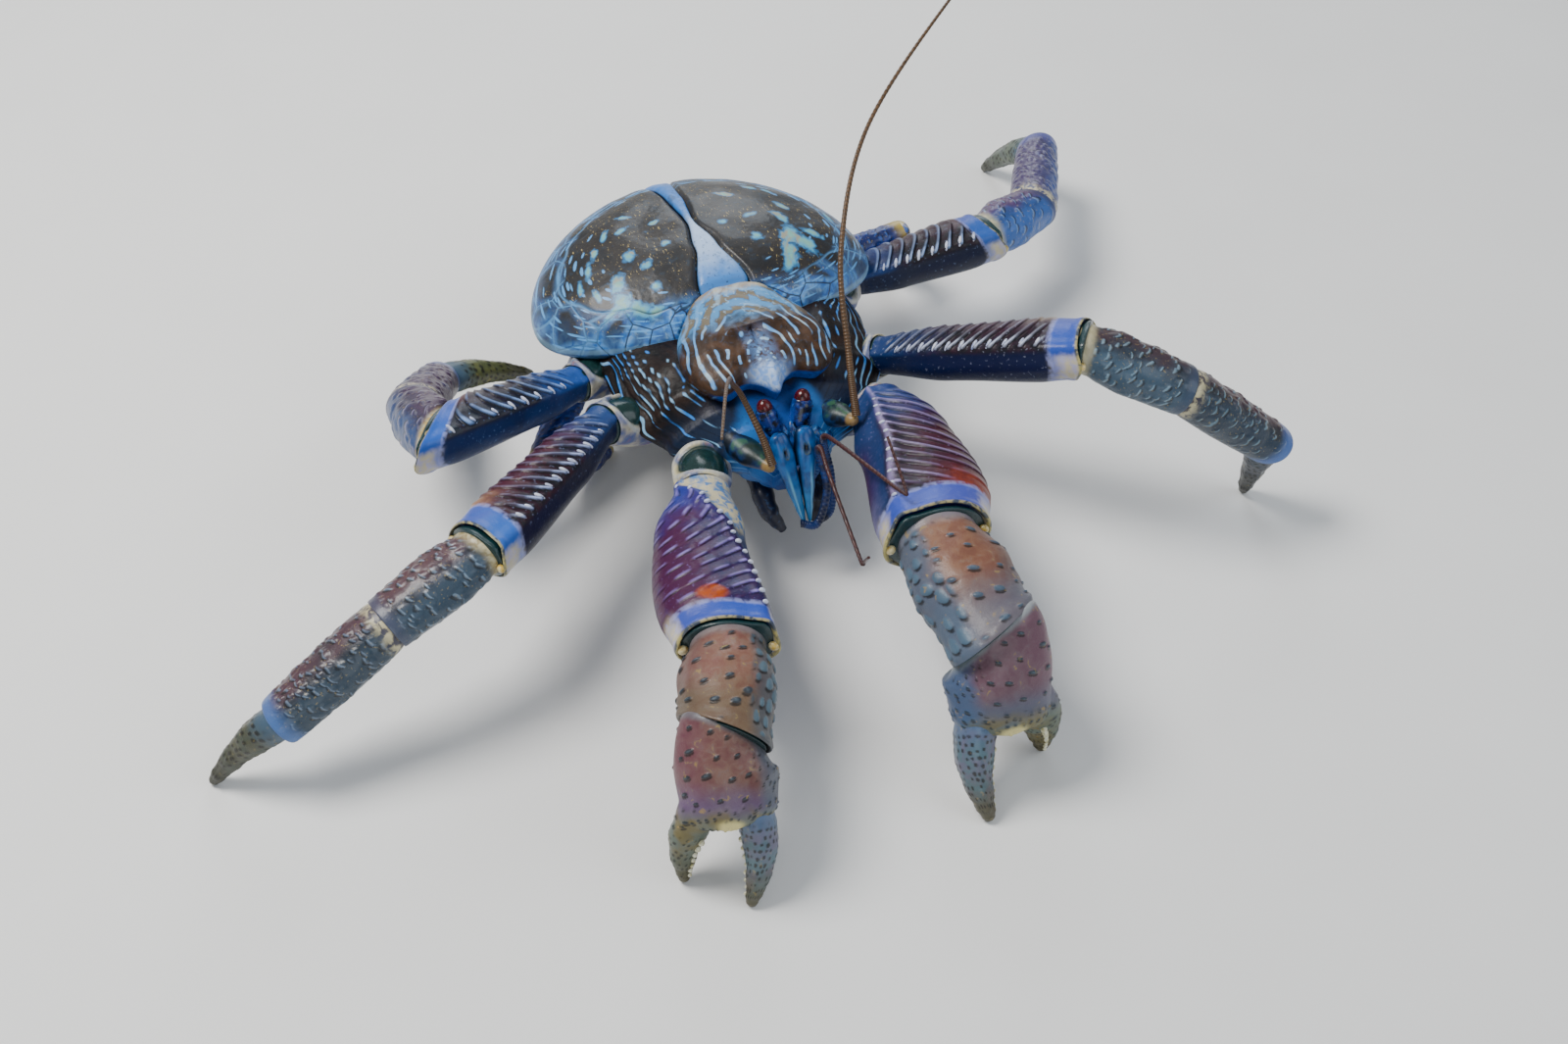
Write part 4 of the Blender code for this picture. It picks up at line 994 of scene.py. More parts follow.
# %% Colours of the walking legs
UPPER_COLOURS = {
    # root, ground, blush, face, glint (pale teeth and painted highlight), cuff, warm patch
    ("second", "right"): ("24447c", "1c1e25", "4a1628", "0e1228", "a4b4e2", "2c60b8", "a07a5c"),
    ("second", "left"): ("1b3668", "1a1b22", "3c142a", "0c1a40", "c4cce4", "3050b0", "a89880"),
    ("third", "right"): ("24509a", "18202c", "2a1626", "1a386c", "7ca0dc", "2c5cb8", "5c2424"),
    ("third", "left"): ("20407a", "181b20", "301020", "101a30", "8ca4d0", "2c58a8", "441a22"),
    ("claw", "right"): ("2a3a90", "201c48", "46163a", "1c2c60", "9484d0", "2c4cb0", "a0440c"),
    ("claw", "left"): ("304a88", "211f2a", "441424", "284478", "a898cc", "3a50b4", "8a3820"),
}
CARPUS_COLOURS = {
    # ground, blush, front, scales and their painted highlight, far end, near end
    ("second", "right"): ("3a404c", "583034", "344a5c", "8098b0", "444a60", "9a8a58"),
    ("second", "left"): ("2a3644", "462a2c", "3c5468", "8cacc0", "33425a", "b8b088"),
    ("third", "right"): ("38324c", "4a2e46", "2f4c7c", "8680a8", "3a3a58", "c0a050"),
    ("third", "left"): ("2a5090", "582236", "3464ae", "7ca0d0", "34385a", "a8a888"),
}
PROPODUS_COLOURS = {
    ("second", "right"): ("2c323b", "522e38", "2c4050", "7488a0", "4a70b0", "45424e"),
    ("second", "left"): ("20252c", "482230", "26384a", "6e94a8", "466eb6", "3a3440"),
    ("third", "right"): ("38304c", "482e46", "364674", "8a86aa", "5068a8", "3c3450"),
    ("third", "left"): ("424270", "483658", "405894", "9c9cba", "5258a0", "3c4468"),
}
PIT_SIZE = 0.34
TOE_RIDGES = 6.0
RIDGE_LIFT = 0.28
TOE_COLOURS = {
    ("second", "right"): ("3c4236", "4a4a38"),
    ("second", "left"): ("3a4048", "4c4e54"),
    ("third", "right"): ("4c5432", "5e6238"),
    ("third", "left"): ("48544c", "5a6656"),
}


def dotted_paint(name, ground, other, tip_tone, root_tone):
    """Toes and fingers: muted shell with dark pits."""
    paint = Paint(name)
    along = paint.mark("along")
    cloud = paint.noise(7.0, 4.0, 0.7)
    fine = paint.noise(1.8, 4.0)
    grain = paint.noise(0.5, 3.0)
    colour = paint.layers(
        paint.mix((cloud * 0.7 + fine * 0.3).step(0.4, 0.6), ground, other),
        ((along + (cloud - 0.5) * 0.5).step(0.45, 0.95) * 0.85, tip_tone),
        (1.0 - (along + (cloud - 0.5) * 0.3).step(0.02, 0.35), root_tone),
        (paint.mark("relief") * 0.6, WHITE),
        (paint.mark("line") * 0.85, "17140e"),
        (fine.step(0.62, 0.75) * 0.3, "a8954c"),
    )
    rough = grain * 0.16 + 0.32 + fine * 0.08
    return paint.finish(colour, rough, grain * 0.4 + fine * 0.6, 0.22, 0.15)


def dotted(length, radius, seed, row=2.6):
    """Toes and fingers: a nearly smooth skin with many small dark pits in rows."""
    def relief(t, angle):
        d = t * length
        bump = scales(d, arc_length(angle, radius), row, row * 0.85, seed, long=PIT_SIZE, wide=PIT_SIZE,
                      jitter=0.4, drop=1.0, spare=0.15)
        pit = step(bump, 0.1, 0.6)
        cover = between(t, 0.08, 0.2, 0.93, 0.98)
        ridge = 0.5 + 0.5 * math.cos(math.radians(angle) * TOE_RIDGES)
        marks = {"relief": 0.0, "line": pit * cover, "band": 1.0 - step(t, 0.0, 0.10)}
        return RIDGE_LIFT * ridge * cover + 0.12 * pit * cover, marks
    return relief


print("rows of colours:", sum(map(len, (UPPER_COLOURS, CARPUS_COLOURS, PROPODUS_COLOURS, TOE_COLOURS))))

# %% [markdown]
# ## Leg by leg
#
# One function builds a whole leg out of five links. The pose, the rows and the colours make the
# difference between the legs. The small fourth legs have three scaly links, without knobs and teeth.

# %% Build the walking legs
base_paint = base_link_paint("leg_roots")


def build_leg(kind, side_name):
    side = SIDES[side_name]
    key = (kind, side_name)
    points = JOINTS[key]
    stem = f"{kind}_{side_name}_"
    seed = 10.0 * len(kind) + side
    base = Link(points, 0, side, BASE_ROWS[kind])
    merus = Link(points, 1, side, MERUS_ROWS[kind], crest=0.12)
    carpus = Link(points, 2, side, CARPUS_ROWS[kind])
    propodus = Link(points, 3, side, PROPODUS_ROWS[kind])
    dactyl = Link(points, 4, side, DACTYL_ROWS[kind], bow=UP * 2.5)
    window = windowed(base.length, base.length - 8.5, 14.0, 6.4, 60.0)
    skin(stem + "base", 72, 72, link_shape(base, window), base_paint, [stem + "base"])
    folds = terraces(merus, 5.0, 8.0, 1.1, 7.0, seed, fold_highlight=0.6 if kind == "third" else 0.42)
    paint = upper_paint("upper_" + stem, *UPPER_COLOURS[key])
    skin(stem + "merus", 124, 240, link_shape(merus, folds, crescent=2.4, lobe=1.6), paint,
         [stem + "merus"])
    paint = scaly_paint("carpus_" + stem, *CARPUS_COLOURS[key])
    rough = scaly(3.4, 3.6, 0.38, carpus.length, seed + 1.0, jitter=0.8, spare=0.15)
    skin(stem + "carpus", 120, 140, link_shape(carpus, rough, tight_end=True), paint,
         [stem + "carpus"])
    paint = scaly_paint("propodus_" + stem, *PROPODUS_COLOURS[key])
    rough = scaly(3.2, 3.4, 0.38, propodus.length, seed + 2.0, jitter=0.8, spare=0.15)
    skin(stem + "propodus", 120, 164, link_shape(propodus, rough, tight_root=True, tight_end=True),
         paint, [stem + "propodus"])
    ground, other = TOE_COLOURS[key]
    paint = dotted_paint("toe_" + stem, ground, other, "2c2c1e", "3d5468")
    skin(stem + "dactyl", 64, 120, link_shape(dactyl, dotted(dactyl.length, 4.5, seed), tip=True),
         paint, [stem + "dactyl"])
    bm = bmesh.new()
    for pad_of, fill in ((base, 0.9), (merus, 0.9), (carpus, 0.86), (propodus, 0.84)):
        add_membrane(bm, pad_of, fill)
    settle(stem + "pads", bm, membrane_paint.material)
    bm = bmesh.new()
    add_knobs(bm, merus, 1.25)
    settle(stem + "knobs", bm, knob_material)
    bm = bmesh.new()
    add_crest_teeth(bm, merus, 5.0, 7.0, (1.9, 0.75, 0.62), seed)
    settle(stem + "teeth", bm, tooth_material)


for kind in ("second", "third"):
    for side_name in SIDES:
        build_leg(kind, side_name)
print("pieces of the walking legs:", len(SKINS))

# %% Build the small fourth legs
FOURTH_COLOURS = ("12225a", "1a2f7c", "1c3f9c", "3a66b8", "c0a838", "4a6ab0")
fourth_paint = scaly_paint("fourth_legs", *FOURTH_COLOURS)
for side_name, side in SIDES.items():
    chain = [JOINTS[("fourth", side_name)][k] for k in (0, 2, 3, 4)]
    stem = f"fourth_{side_name}_"
    for k, part in enumerate(("upper", "shin", "pincer")):
        segment = Link(chain, k, side, FOURTH_ROWS[k])
        fine_scales = scaly(3.0, 2.6, 0.25, segment.length, 40.0 + k, radius=5.0)
        skin(stem + part, 64, 90, link_shape(segment, fine_scales, tight_root=k > 0, tight_end=True,
                                             tip=k == 2), fourth_paint, [stem + part])
print("pieces:", len(SKINS))

# %% [markdown]
# ## Claws
#
# The base, merus and carpus are links like those of the legs, with blunt tubercles on the carpus. The
# palm and its fixed finger grow together, so both skins are melted into one by a voxel remesh, and the
# tubercles are pushed out of the result. The movable finger closes against it from the inner side.

# %% Claw paints
FIXED_FINGER_TIPS = {"right": (-81.4, -193.0), "left": (37.5, -188.0)}
CLAW_COLOURS = {
    # ground, second ground, inner side, tubercles, blocks (also the painted highlight on tubercle tops), far
    # end, near end
    "right": ("70473e", "7c5c4c", "4c5258", "27323c", "566e7c", "56503a", "6c5a5c"),
    "left": ("70493a", "7e5a44", "4c5f74", "3a4e60", "50687c", "4a6074", "7c7484"),
}
PALM_COLOURS = {
    "right": ("64403e", "70544a", "525e6c", "1e282e", "5c7280", "5a5078", "4c4448"),
    "left": ("624652", "6c545c", "3a5678", "26343e", "5c7c88", "405a70", "98a4a4"),
}


def claw_paint(name, ground, second, inner, tubercle, block, far_end, near_end, palm=False):
    """Rose-brown shell with slate tubercles; a palm turns olive and pale towards its finger."""
    paint = Paint(name)
    along, above, ahead = paint.mark("along"), paint.mark("above"), paint.mark("ahead")
    cloud = paint.noise(12.0, 5.0, 0.9)
    fine = paint.noise(2.6, 4.0, 0.6)
    grain = paint.noise(0.5, 3.0)
    relief = paint.mark("relief")
    side_share = (paint.mark("face") + (cloud - 0.5) * 0.9).step(0.30, 1.0)
    rear_share = ((cloud - 0.5) * 0.8 - ahead).step(0.25, 1.0)
    under = 1.0 - (above + (cloud - 0.5) * 0.8).step(-0.7, 0.1)
    end = along + (fine - 0.5) * 0.05 + (cloud - 0.5) * 0.20
    colour = paint.layers(
        paint.mix((cloud * 0.5 + fine * 0.5).step(0.38, 0.60), ground, second),
        (fine.step(0.52, 0.75) * 0.35, "585a68"),
        (rear_share * 0.45, "62304c" if palm else "54474c"),
        (end.step(0.50, 0.85) * 0.6, far_end),
        (side_share * 0.85, inner),
        (under * 0.6, "504e46"),
    )
    if palm:
        finger = (along + (cloud - 0.5) * 0.35).step(0.80, 1.08)
        pale = paint.mix(cloud.step(0.42, 0.60), "5e6a5c", "6c6438")
        colour = paint.mix(finger * 0.9, colour, pale)
        colour = paint.mix((along + (cloud - 0.5) * 0.3).step(1.35, 1.75) * 0.8, colour, "443c1c")
    start = 1.0 - (along + (fine - 0.5) * 0.03 + (cloud - 0.5) * 0.08).step(0.0, 0.08 if palm else 0.14)
    # Tubercle tone, lighter at the tops as a painted highlight in the block tone
    tubercle_with_highlight = paint.mix(relief.step(0.75, 1.0) * 0.35, tubercle, block)
    colour = paint.layers(
        colour,
        (start * 0.75, paint.mix(fine, near_end, "7c868c")),
        # Painted shadow beyond each tubercle (on the palm also the finger's own dark dots), then the
        # tubercles
        (paint.mark("line") * 0.8, "12100e"),
        (relief.step(0.12, 0.6) * 0.9, paint.mix(side_share * (0.0 if palm else 0.9), tubercle_with_highlight, block)),
        (fine.step(0.63, 0.72) * 0.55, "a08440"),
        (paint.mark("band") * (fine * 0.5 + 0.6).least(1.0), "d8cc8a"),
    )
    rough = grain * 0.16 + 0.30 + fine * 0.12
    return paint.finish(colour, rough, grain * 0.35 + fine * 0.65, 0.25, 0.08, 0.3)


print("claw colours:", len(CLAW_COLOURS), "and", len(PALM_COLOURS))

# %% [markdown]
# ## Tubercles
#
# Blunt tubercles stud the claws, sparse on the back and small and dense towards the fingers. A texture
# with displacement could make them too. Worked out point by point, the same bump gives the form and
# the mark that colours it.

# %% Relief of the claws
def tubercles(d, y, seed, dense, blocks=0.0):
    """Height and shadow of low tubercles, wider than long: sparse, or small and dense."""
    def field(x):
        big = scales(x, y, 6.2, 7.0, seed, long=0.12, wide=0.23, jitter=0.6, drop=0.8, spare=0.12)
        small = scales(x, y, 3.0, 2.9, seed + 3.0, long=0.18, wide=0.28, jitter=0.6, drop=0.8, spare=0.1)
        block = scales(x, y, 4.4, 4.2, seed + 5.0, long=0.46, wide=0.36, jitter=0.35, drop=0.6, spare=0.12)
        height = max(big, 0.0) ** 0.7 * (1.0 - dense) + max(small, 0.0) ** 0.7 * dense * 0.8
        return max(height * (1.0 - blocks), max(block, 0.0) ** 0.6 * blocks)
    here = field(d)
    shadow = max(field(d - 0.7) - here, 0.0)
    return here, step(shadow, 0.05, 0.45)


def rough_carpus(length, seed):
    """Relief of a claw carpus: sparse tubercles, and larger blocks on the inner edge."""
    def relief(t, angle):
        d = t * length
        front = sine(angle)
        inner = step(front, 0.50, 0.78)
        cover = between(t, 0.04, 0.12, 0.93, 0.98)
        cover *= 0.2 + 0.8 * step(cosine(angle), -0.6, 0.0)
        bump, shadow = tubercles(d, arc_length(angle, 13.0), seed, 0.0, inner)
        lump = cloud_at(d * 0.13, angle * 0.025, seed)
        marks = {"relief": bump * cover, "line": shadow * cover, "band": 0.0,
                 "face": step(front, 0.3, 0.95)}
        edge = step(t, 0.84, 0.96) * 0.9
        return (0.6 * bump + 0.9 * lump) * cover + edge, marks
    return relief


print("bump and shadow at a sample point:", [round(value, 3) for value in tubercles(3.0, 2.0, 4.0, 0.0)])

# %% [markdown]
# ## Claw by claw
#
# The left claw is the larger one, so its links grow by a factor. The joint between carpus and palm is
# cut aslant, as on the animal, and a voxel remesh with a few rounds of smoothing makes one form of the
# palm and its fixed finger. A boolean would leave a sharp edge between them.

# %% Build the claws
WRIST_LEAN = 0.42
MERUS_BOW = -4.0
PALM_VOXEL = 0.38
PALM_SMOOTHINGS = 8
CLAW_TWIST = {
    "right": [(0.0, -60.0), (0.20, 6.0), (0.38, 44.0), (0.62, 56.0)],
    "left": [(0.0, 20.0), (0.35, 34.0), (0.80, 46.0)],
}


def wrist_plane(points, side):
    """Normal of the joint between carpus and palm, which leans towards the inner side."""
    normal = ((points[3] - points[2]).normalized() + (points[4] - points[3]).normalized()).normalized()
    return (normal - cross_axes(normal, side)[0] * WRIST_LEAN).normalized()


def palm_marks(palm, finger, point):
    """Height and marks of a point on the palm or its fixed finger."""
    offset = point - STANCE_SHIFT - palm.start
    d = offset.dot(palm.direction) / MM
    root = offset.dot(palm.near) / MM
    angle = math.degrees(math.atan2(offset.dot(palm.front), offset.dot(palm.up)))
    a = math.radians(angle)
    front = math.sin(a)
    cover = step(root, 1.0, 3.5) * (1.0 - step(d, palm.length * 1.05, palm.length * 1.2))
    cover *= 0.25 + 0.75 * step(math.cos(a), -0.5, 0.1)
    dense = max(step(d, 0.62 * palm.length, 0.95 * palm.length), step(front, 0.35, 0.85) * 0.9)
    bump, shadow = tubercles(d, arc_length(angle, 13.5), 4.0, dense)
    lump = noise.noise(point * (1.0 / (9.0 * MM)))

    # The dots of the finger sit round its own middle line
    offset = point - STANCE_SHIFT - finger.start
    along = offset.dot(finger.direction) / (finger.length * MM)
    around = math.atan2(offset.dot(finger.front), offset.dot(finger.up))
    dots = scales(along * finger.length, around * 6.5, 2.0, 1.9, 9.0, long=0.3, wide=0.3, jitter=0.5,
                  drop=1.0, spare=0.1)
    dots = step(dots, 0.1, 0.6) * between(along, 0.30, 0.45, 0.95, 1.0)
    arch = math.exp(-((d / palm.length - 1.0) / 0.10) ** 2 - ((front + 0.05) / 0.45) ** 2)
    arch *= step(math.cos(a), -0.1, 0.4)
    share = root / palm.length
    share += (d / palm.length + 0.1 - share) * step(share, 0.25, 0.6)
    # line holds the finger's dark dots and the painted shadow beyond each tubercle
    marks = {"along": share, "relief": bump * cover,
             "face": step(front, 0.3, 0.95), "line": max(dots, shadow * cover),
             "band": step(arch, 0.2, 0.75), "above": math.cos(a), "ahead": front}
    return (0.55 * bump + 0.7 * lump) * cover + 0.12 * dots + 0.8 * arch, marks


def build_palm(side_name, palm, finger):
    bm = bmesh.new()
    wrap(bm, 96, 96, link_shape(palm, smooth_link, tight_root=True, tip=True))
    wrap(bm, 64, 110, link_shape(finger, smooth_link, tip=True))
    mesh = bpy.data.meshes.new("palm_form")
    bm.to_mesh(mesh)
    bm.free()
    form = bpy.data.objects.new("palm_form", mesh)
    bpy.context.scene.collection.objects.link(form)
    melt = form.modifiers.new("melt", "REMESH")
    melt.mode = "VOXEL"
    melt.voxel_size = PALM_VOXEL * MM
    bpy.context.view_layer.update()
    graph = bpy.context.evaluated_depsgraph_get()
    bm = bmesh.new()
    bm.from_mesh(form.evaluated_get(graph).to_mesh())
    bpy.data.objects.remove(form)
    bmesh.ops.remove_doubles(bm, verts=bm.verts, dist=1e-6)
    for _ in range(PALM_SMOOTHINGS):
        bmesh.ops.smooth_vert(bm, verts=bm.verts, factor=0.5, use_axis_x=True, use_axis_y=True,
                              use_axis_z=True)
    bm.normal_update()
    layers = {mark: bm.verts.layers.float.new(mark) for mark in MARKS}
    moves = []
    for vert in bm.verts:
        height, marks = palm_marks(palm, finger, vert.co)
        moves.append((vert, vert.normal * (height * MM)))
        for mark, value in marks.items():
            vert[layers[mark]] = value
    for vert, move in moves:
        vert.co += move
        vert.co.z = max(vert.co.z, 0.0)
    name = f"claw_{side_name}_palm"
    material = claw_paint(name, *PALM_COLOURS[side_name], palm=True)
    settle(name, bm, material, [name])


def build_claw(side_name):
    side = SIDES[side_name]
    growth = CLAW_GROWTH[side_name]
    points = JOINTS[("claw", side_name)]
    stem = f"claw_{side_name}_"
    base = Link(points, 0, side, BASE_ROWS["claw"])
    bow = cross_axes((points[2] - points[1]).normalized(), side)[0] * MERUS_BOW
    merus = Link(points, 1, side, MERUS_ROWS["claw"], crest=0.14, bow=bow, growth=growth,
                 twist=CLAW_TWIST[side_name])
    carpus = Link(points, 2, side, CARPUS_ROWS["claw"], growth=growth)
    palm = Link(points[:5], 3, side, PALM_ROWS, growth=growth)
    carpus.far = palm.near = wrist_plane(points, side)
    window = windowed(base.length, base.length - 10.0, 8.0, 7.6, 78.0)
    skin(stem + "base", 72, 72, link_shape(base, window), base_paint, [stem + "base"])
    if side_name == "right":
        folds = terraces(merus, 4.6, 11.0, 0.5, 5.0, 3.0, dashes=4.6, white=0.07, fold_highlight=0.75, bend=0.75,
                         collar=0.86)
        special = {"face_root": "4c7ab0", "spot": (0.835, -0.08, 0.052, 0.44)}
    else:
        folds = terraces(merus, 5.4, 12.0, 0.9, 6.0, -3.0, white=0.07, fold_highlight=0.7, bend=0.75, ridge=0.65)
        special = {"belly": "481440"}
    paint = upper_paint("upper_" + stem, *UPPER_COLOURS[("claw", side_name)], **special)
    slit = 0.8 if side_name == "right" else 2.0
    skin(stem + "merus", 140, 264, link_shape(merus, folds, crescent=slit, lobe=2.2), paint,
         [stem + "merus"])
    paint = claw_paint(stem + "carpus", *CLAW_COLOURS[side_name])
    rough = rough_carpus(carpus.length, 5.0 * side)
    skin(stem + "carpus", 140, 140, link_shape(carpus, rough, tight_end=True), paint,
         [stem + "carpus"])

    # The fixed finger starts inside the outer side of the palm
    tip = FIXED_FINGER_TIPS[side_name]
    outer = [points[4] - palm.front * (6.6 * growth * MM) - palm.direction * 7.0 * MM,
             mm(tip[0], tip[1], TIP_Z)]
    fixed = Link(outer, 0, side, FINGER_ROWS, growth=growth, bow=palm.front * -2.5)
    build_palm(side_name, palm, fixed)
    inner = [points[4] + palm.front * (6.4 * growth * MM) - palm.direction * 4.0 * MM, points[5]]
    dactyl = Link(inner, 0, side, FINGER_ROWS, growth=growth, bow=palm.front * 2.5)
    paint = dotted_paint(stem + "dactyl", "4c6670", "5e5e74", "4a4220", "4c6484")
    skin(stem + "dactyl", 96, 160, link_shape(dactyl, dotted(dactyl.length, 6.5, 12.0, row=2.2), tip=True),
         paint, [stem + "dactyl"])
    bm = bmesh.new()
    for pad_of, fill in ((base, 0.9), (merus, 0.9), (carpus, 0.93)):
        add_membrane(bm, pad_of, fill)
    settle(stem + "pads", bm, membrane_paint.material)
    bm = bmesh.new()
    add_knobs(bm, merus, 1.5)
    settle(stem + "knobs", bm, knob_material)
    bm = bmesh.new()
    if side_name == "right":
        add_crest_teeth(bm, merus, 4.2, 1.0, (1.3, 0.75, 0.7), 3.0, last=0.9, aside=0.0)
    else:
        add_crest_teeth(bm, merus, 5.4, 6.0, (1.2, 0.6, 0.6), -3.0, last=0.86, aside=0.0)
    settle(stem + "teeth", bm, tooth_material)
    bm = bmesh.new()
    add_finger_teeth(bm, fixed, 2.6, 0.42, 0.95, 90.0, 1.15, 6)
    add_finger_teeth(bm, dactyl, 2.6, 0.36, 0.95, -90.0, 1.15, 7)
    settle(stem + "biting_teeth", bm, biting_material)


for side_name in SIDES:
    build_claw(side_name)
print("pieces:", len(SKINS))

# %% [markdown]
# ## Carapace
#
# Two gill domes and the hourglass of the heart plate between them come from one wide dome. Each is a
# flat tube that runs from the front to the rear: its section follows the dome from the middle groove to
# the rim, then turns under. The front shield is a set of shrinking rings of its outline.

# %% Carapace forms
CARAPACE_HALF_WIDTH = 60.5
CARAPACE_WIDEST_Y = 5.0
CARAPACE_REAR_REACH = 48.0
CARAPACE_FRONT_REACH = 34.0
CARAPACE_TOP_Z = 72.0
RIM_SIDE_Z = 46.0
RIM_END_RISE = 11.0
MEAN_RADIUS = 50.0
DOME_FRONT_Y = -27.6
HEART_FRONT_Y = -19.5
HEART_LENGTH = 72.2
RIPPLE_CENTRE_Y = -54.0
HEART_ROWS = [
    # y, right edge, left edge
    (-40.0, -9.5, 9.5), (-18.0, -9.5, 8.5), (0.0, -4.5, 3.5), (13.0, -2.2, 0.2), (30.0, -3.5, 2.0),
    (60.0, -6.0, 4.5),
]
SHIELD_OUTLINE = [
    (0.0, -17.5), (11.5, -20.0), (20.0, -27.0), (24.0, -36.0), (25.0, -46.0),
    (23.0, -55.0), (17.0, -60.5), (9.0, -57.5), (4.0, -60.0), (0.0, -65.0),
]
SHIELD_CENTRE_Y = -40.0
SHIELD_TOP_Z = 66.5
SHIELD_MARGIN_Z = 57.5

# Pale blots on the domes: x, y, half length, half width, turn of the long way in degrees
BLOTS = {
    "right": [
        (-33.4, -4.6, 3.4, 2.4, 80), (-34.2, -11.6, 4.6, 2.8, 100), (-29.6, -16.4, 4.4, 2.6, 140),
        (-38.2, -12.6, 3.8, 1.4, 20), (-25.6, -18.6, 3.6, 1.5, 170), (-13.2, 5.1, 1.5, 1.2, 0),
        (-22.0, -1.8, 2.0, 1.3, 30), (-22.1, -11.4, 1.8, 1.5, 0), (-26.2, 4.9, 2.4, 1.8, 60),
        (-13.1, 17.5, 1.5, 1.0, 0), (-24.1, 19.8, 2.2, 1.0, 30), (-29.7, 20.8, 2.4, 0.9, 60),
        (-20.8, 27.2, 2.4, 0.8, 150), (-39.9, 7.4, 3.0, 0.9, 70), (-35.5, 14.1, 2.8, 0.9, 65),
        (-44.3, 3.0, 3.0, 0.8, 80), (-40.6, -4.4, 2.6, 0.8, 95),
    ],
    "left": [
        (29.1, -2.4, 4.6, 2.6, 60), (33.4, -6.2, 4.8, 2.4, 120), (26.0, -10.4, 4.4, 2.2, 80),
        (29.9, 7.4, 3.4, 1.6, 110), (37.8, -1.2, 3.6, 1.3, 150), (24.0, -14.4, 2.8, 1.6, 60),
        (17.8, -1.6, 1.9, 1.6, 0), (19.2, 10.2, 2.4, 1.1, 20), (9.1, 9.0, 1.5, 1.2, 0),
        (15.8, 25.8, 2.4, 1.0, 160), (27.1, 30.2, 2.6, 0.9, 140), (32.5, 26.4, 2.6, 0.9, 130),
        (49.0, 11.5, 3.0, 0.8, 100), (50.2, 0.2, 2.8, 0.8, 85), (33.0, 15.4, 2.8, 1.2, 120),
    ],
}


def ring_place(x, y):
    """A point as shares of the domes' half width and of their reach to the front or rear."""
    reach = CARAPACE_REAR_REACH if y > CARAPACE_WIDEST_Y else CARAPACE_FRONT_REACH
    return x / CARAPACE_HALF_WIDTH, (y - CARAPACE_WIDEST_Y) / reach


def dome_edge(x, y):
    """Scale of the dome ring through a point, and the height of the rim there."""
    a, b = ring_place(x, y)
    scale = math.hypot(a, b)
    return scale, RIM_SIDE_Z + RIM_END_RISE * (b / scale) ** 2 if scale > 1e-6 else RIM_SIDE_Z


def dome_height(x, y):
    scale, edge = dome_edge(x, y)
    rise = (1.0 - min(scale, 1.0) ** 2.3) ** 0.62
    return edge + (CARAPACE_TOP_Z - edge) * rise


def rim_x(y):
    return CARAPACE_HALF_WIDTH * math.sqrt(max(0.0, 1.0 - ring_place(0.0, y)[1] ** 2))


def shield_x(y):
    """Half width of the front shield's rear part at y."""
    if y > SHIELD_OUTLINE[0][1]:
        return 0.0
    rows = [(-row[1], row[0]) for row in SHIELD_OUTLINE[:5]]
    return line(rows, -y)[0]


def suture_x(y, side):
    right, left = ease(HEART_ROWS, y)
    edge = left if side > 0 else -right
    return max(edge, shield_x(y) + 0.1)


def blot_field(x, y, side_name):
    """1 in the middle of a pale blot, 0 at its edge and below 0 outside."""
    best = -9.0
    for bx, by, half_long, half_wide, turned in BLOTS[side_name]:
        a = math.radians(turned)
        dx, dy = x - bx, y - by
        p = (dx * math.cos(a) + dy * math.sin(a)) / half_long
        q = (dy * math.cos(a) - dx * math.sin(a)) / half_wide
        best = max(best, 1.0 - math.hypot(p, q))
    return max(best, -1.0)


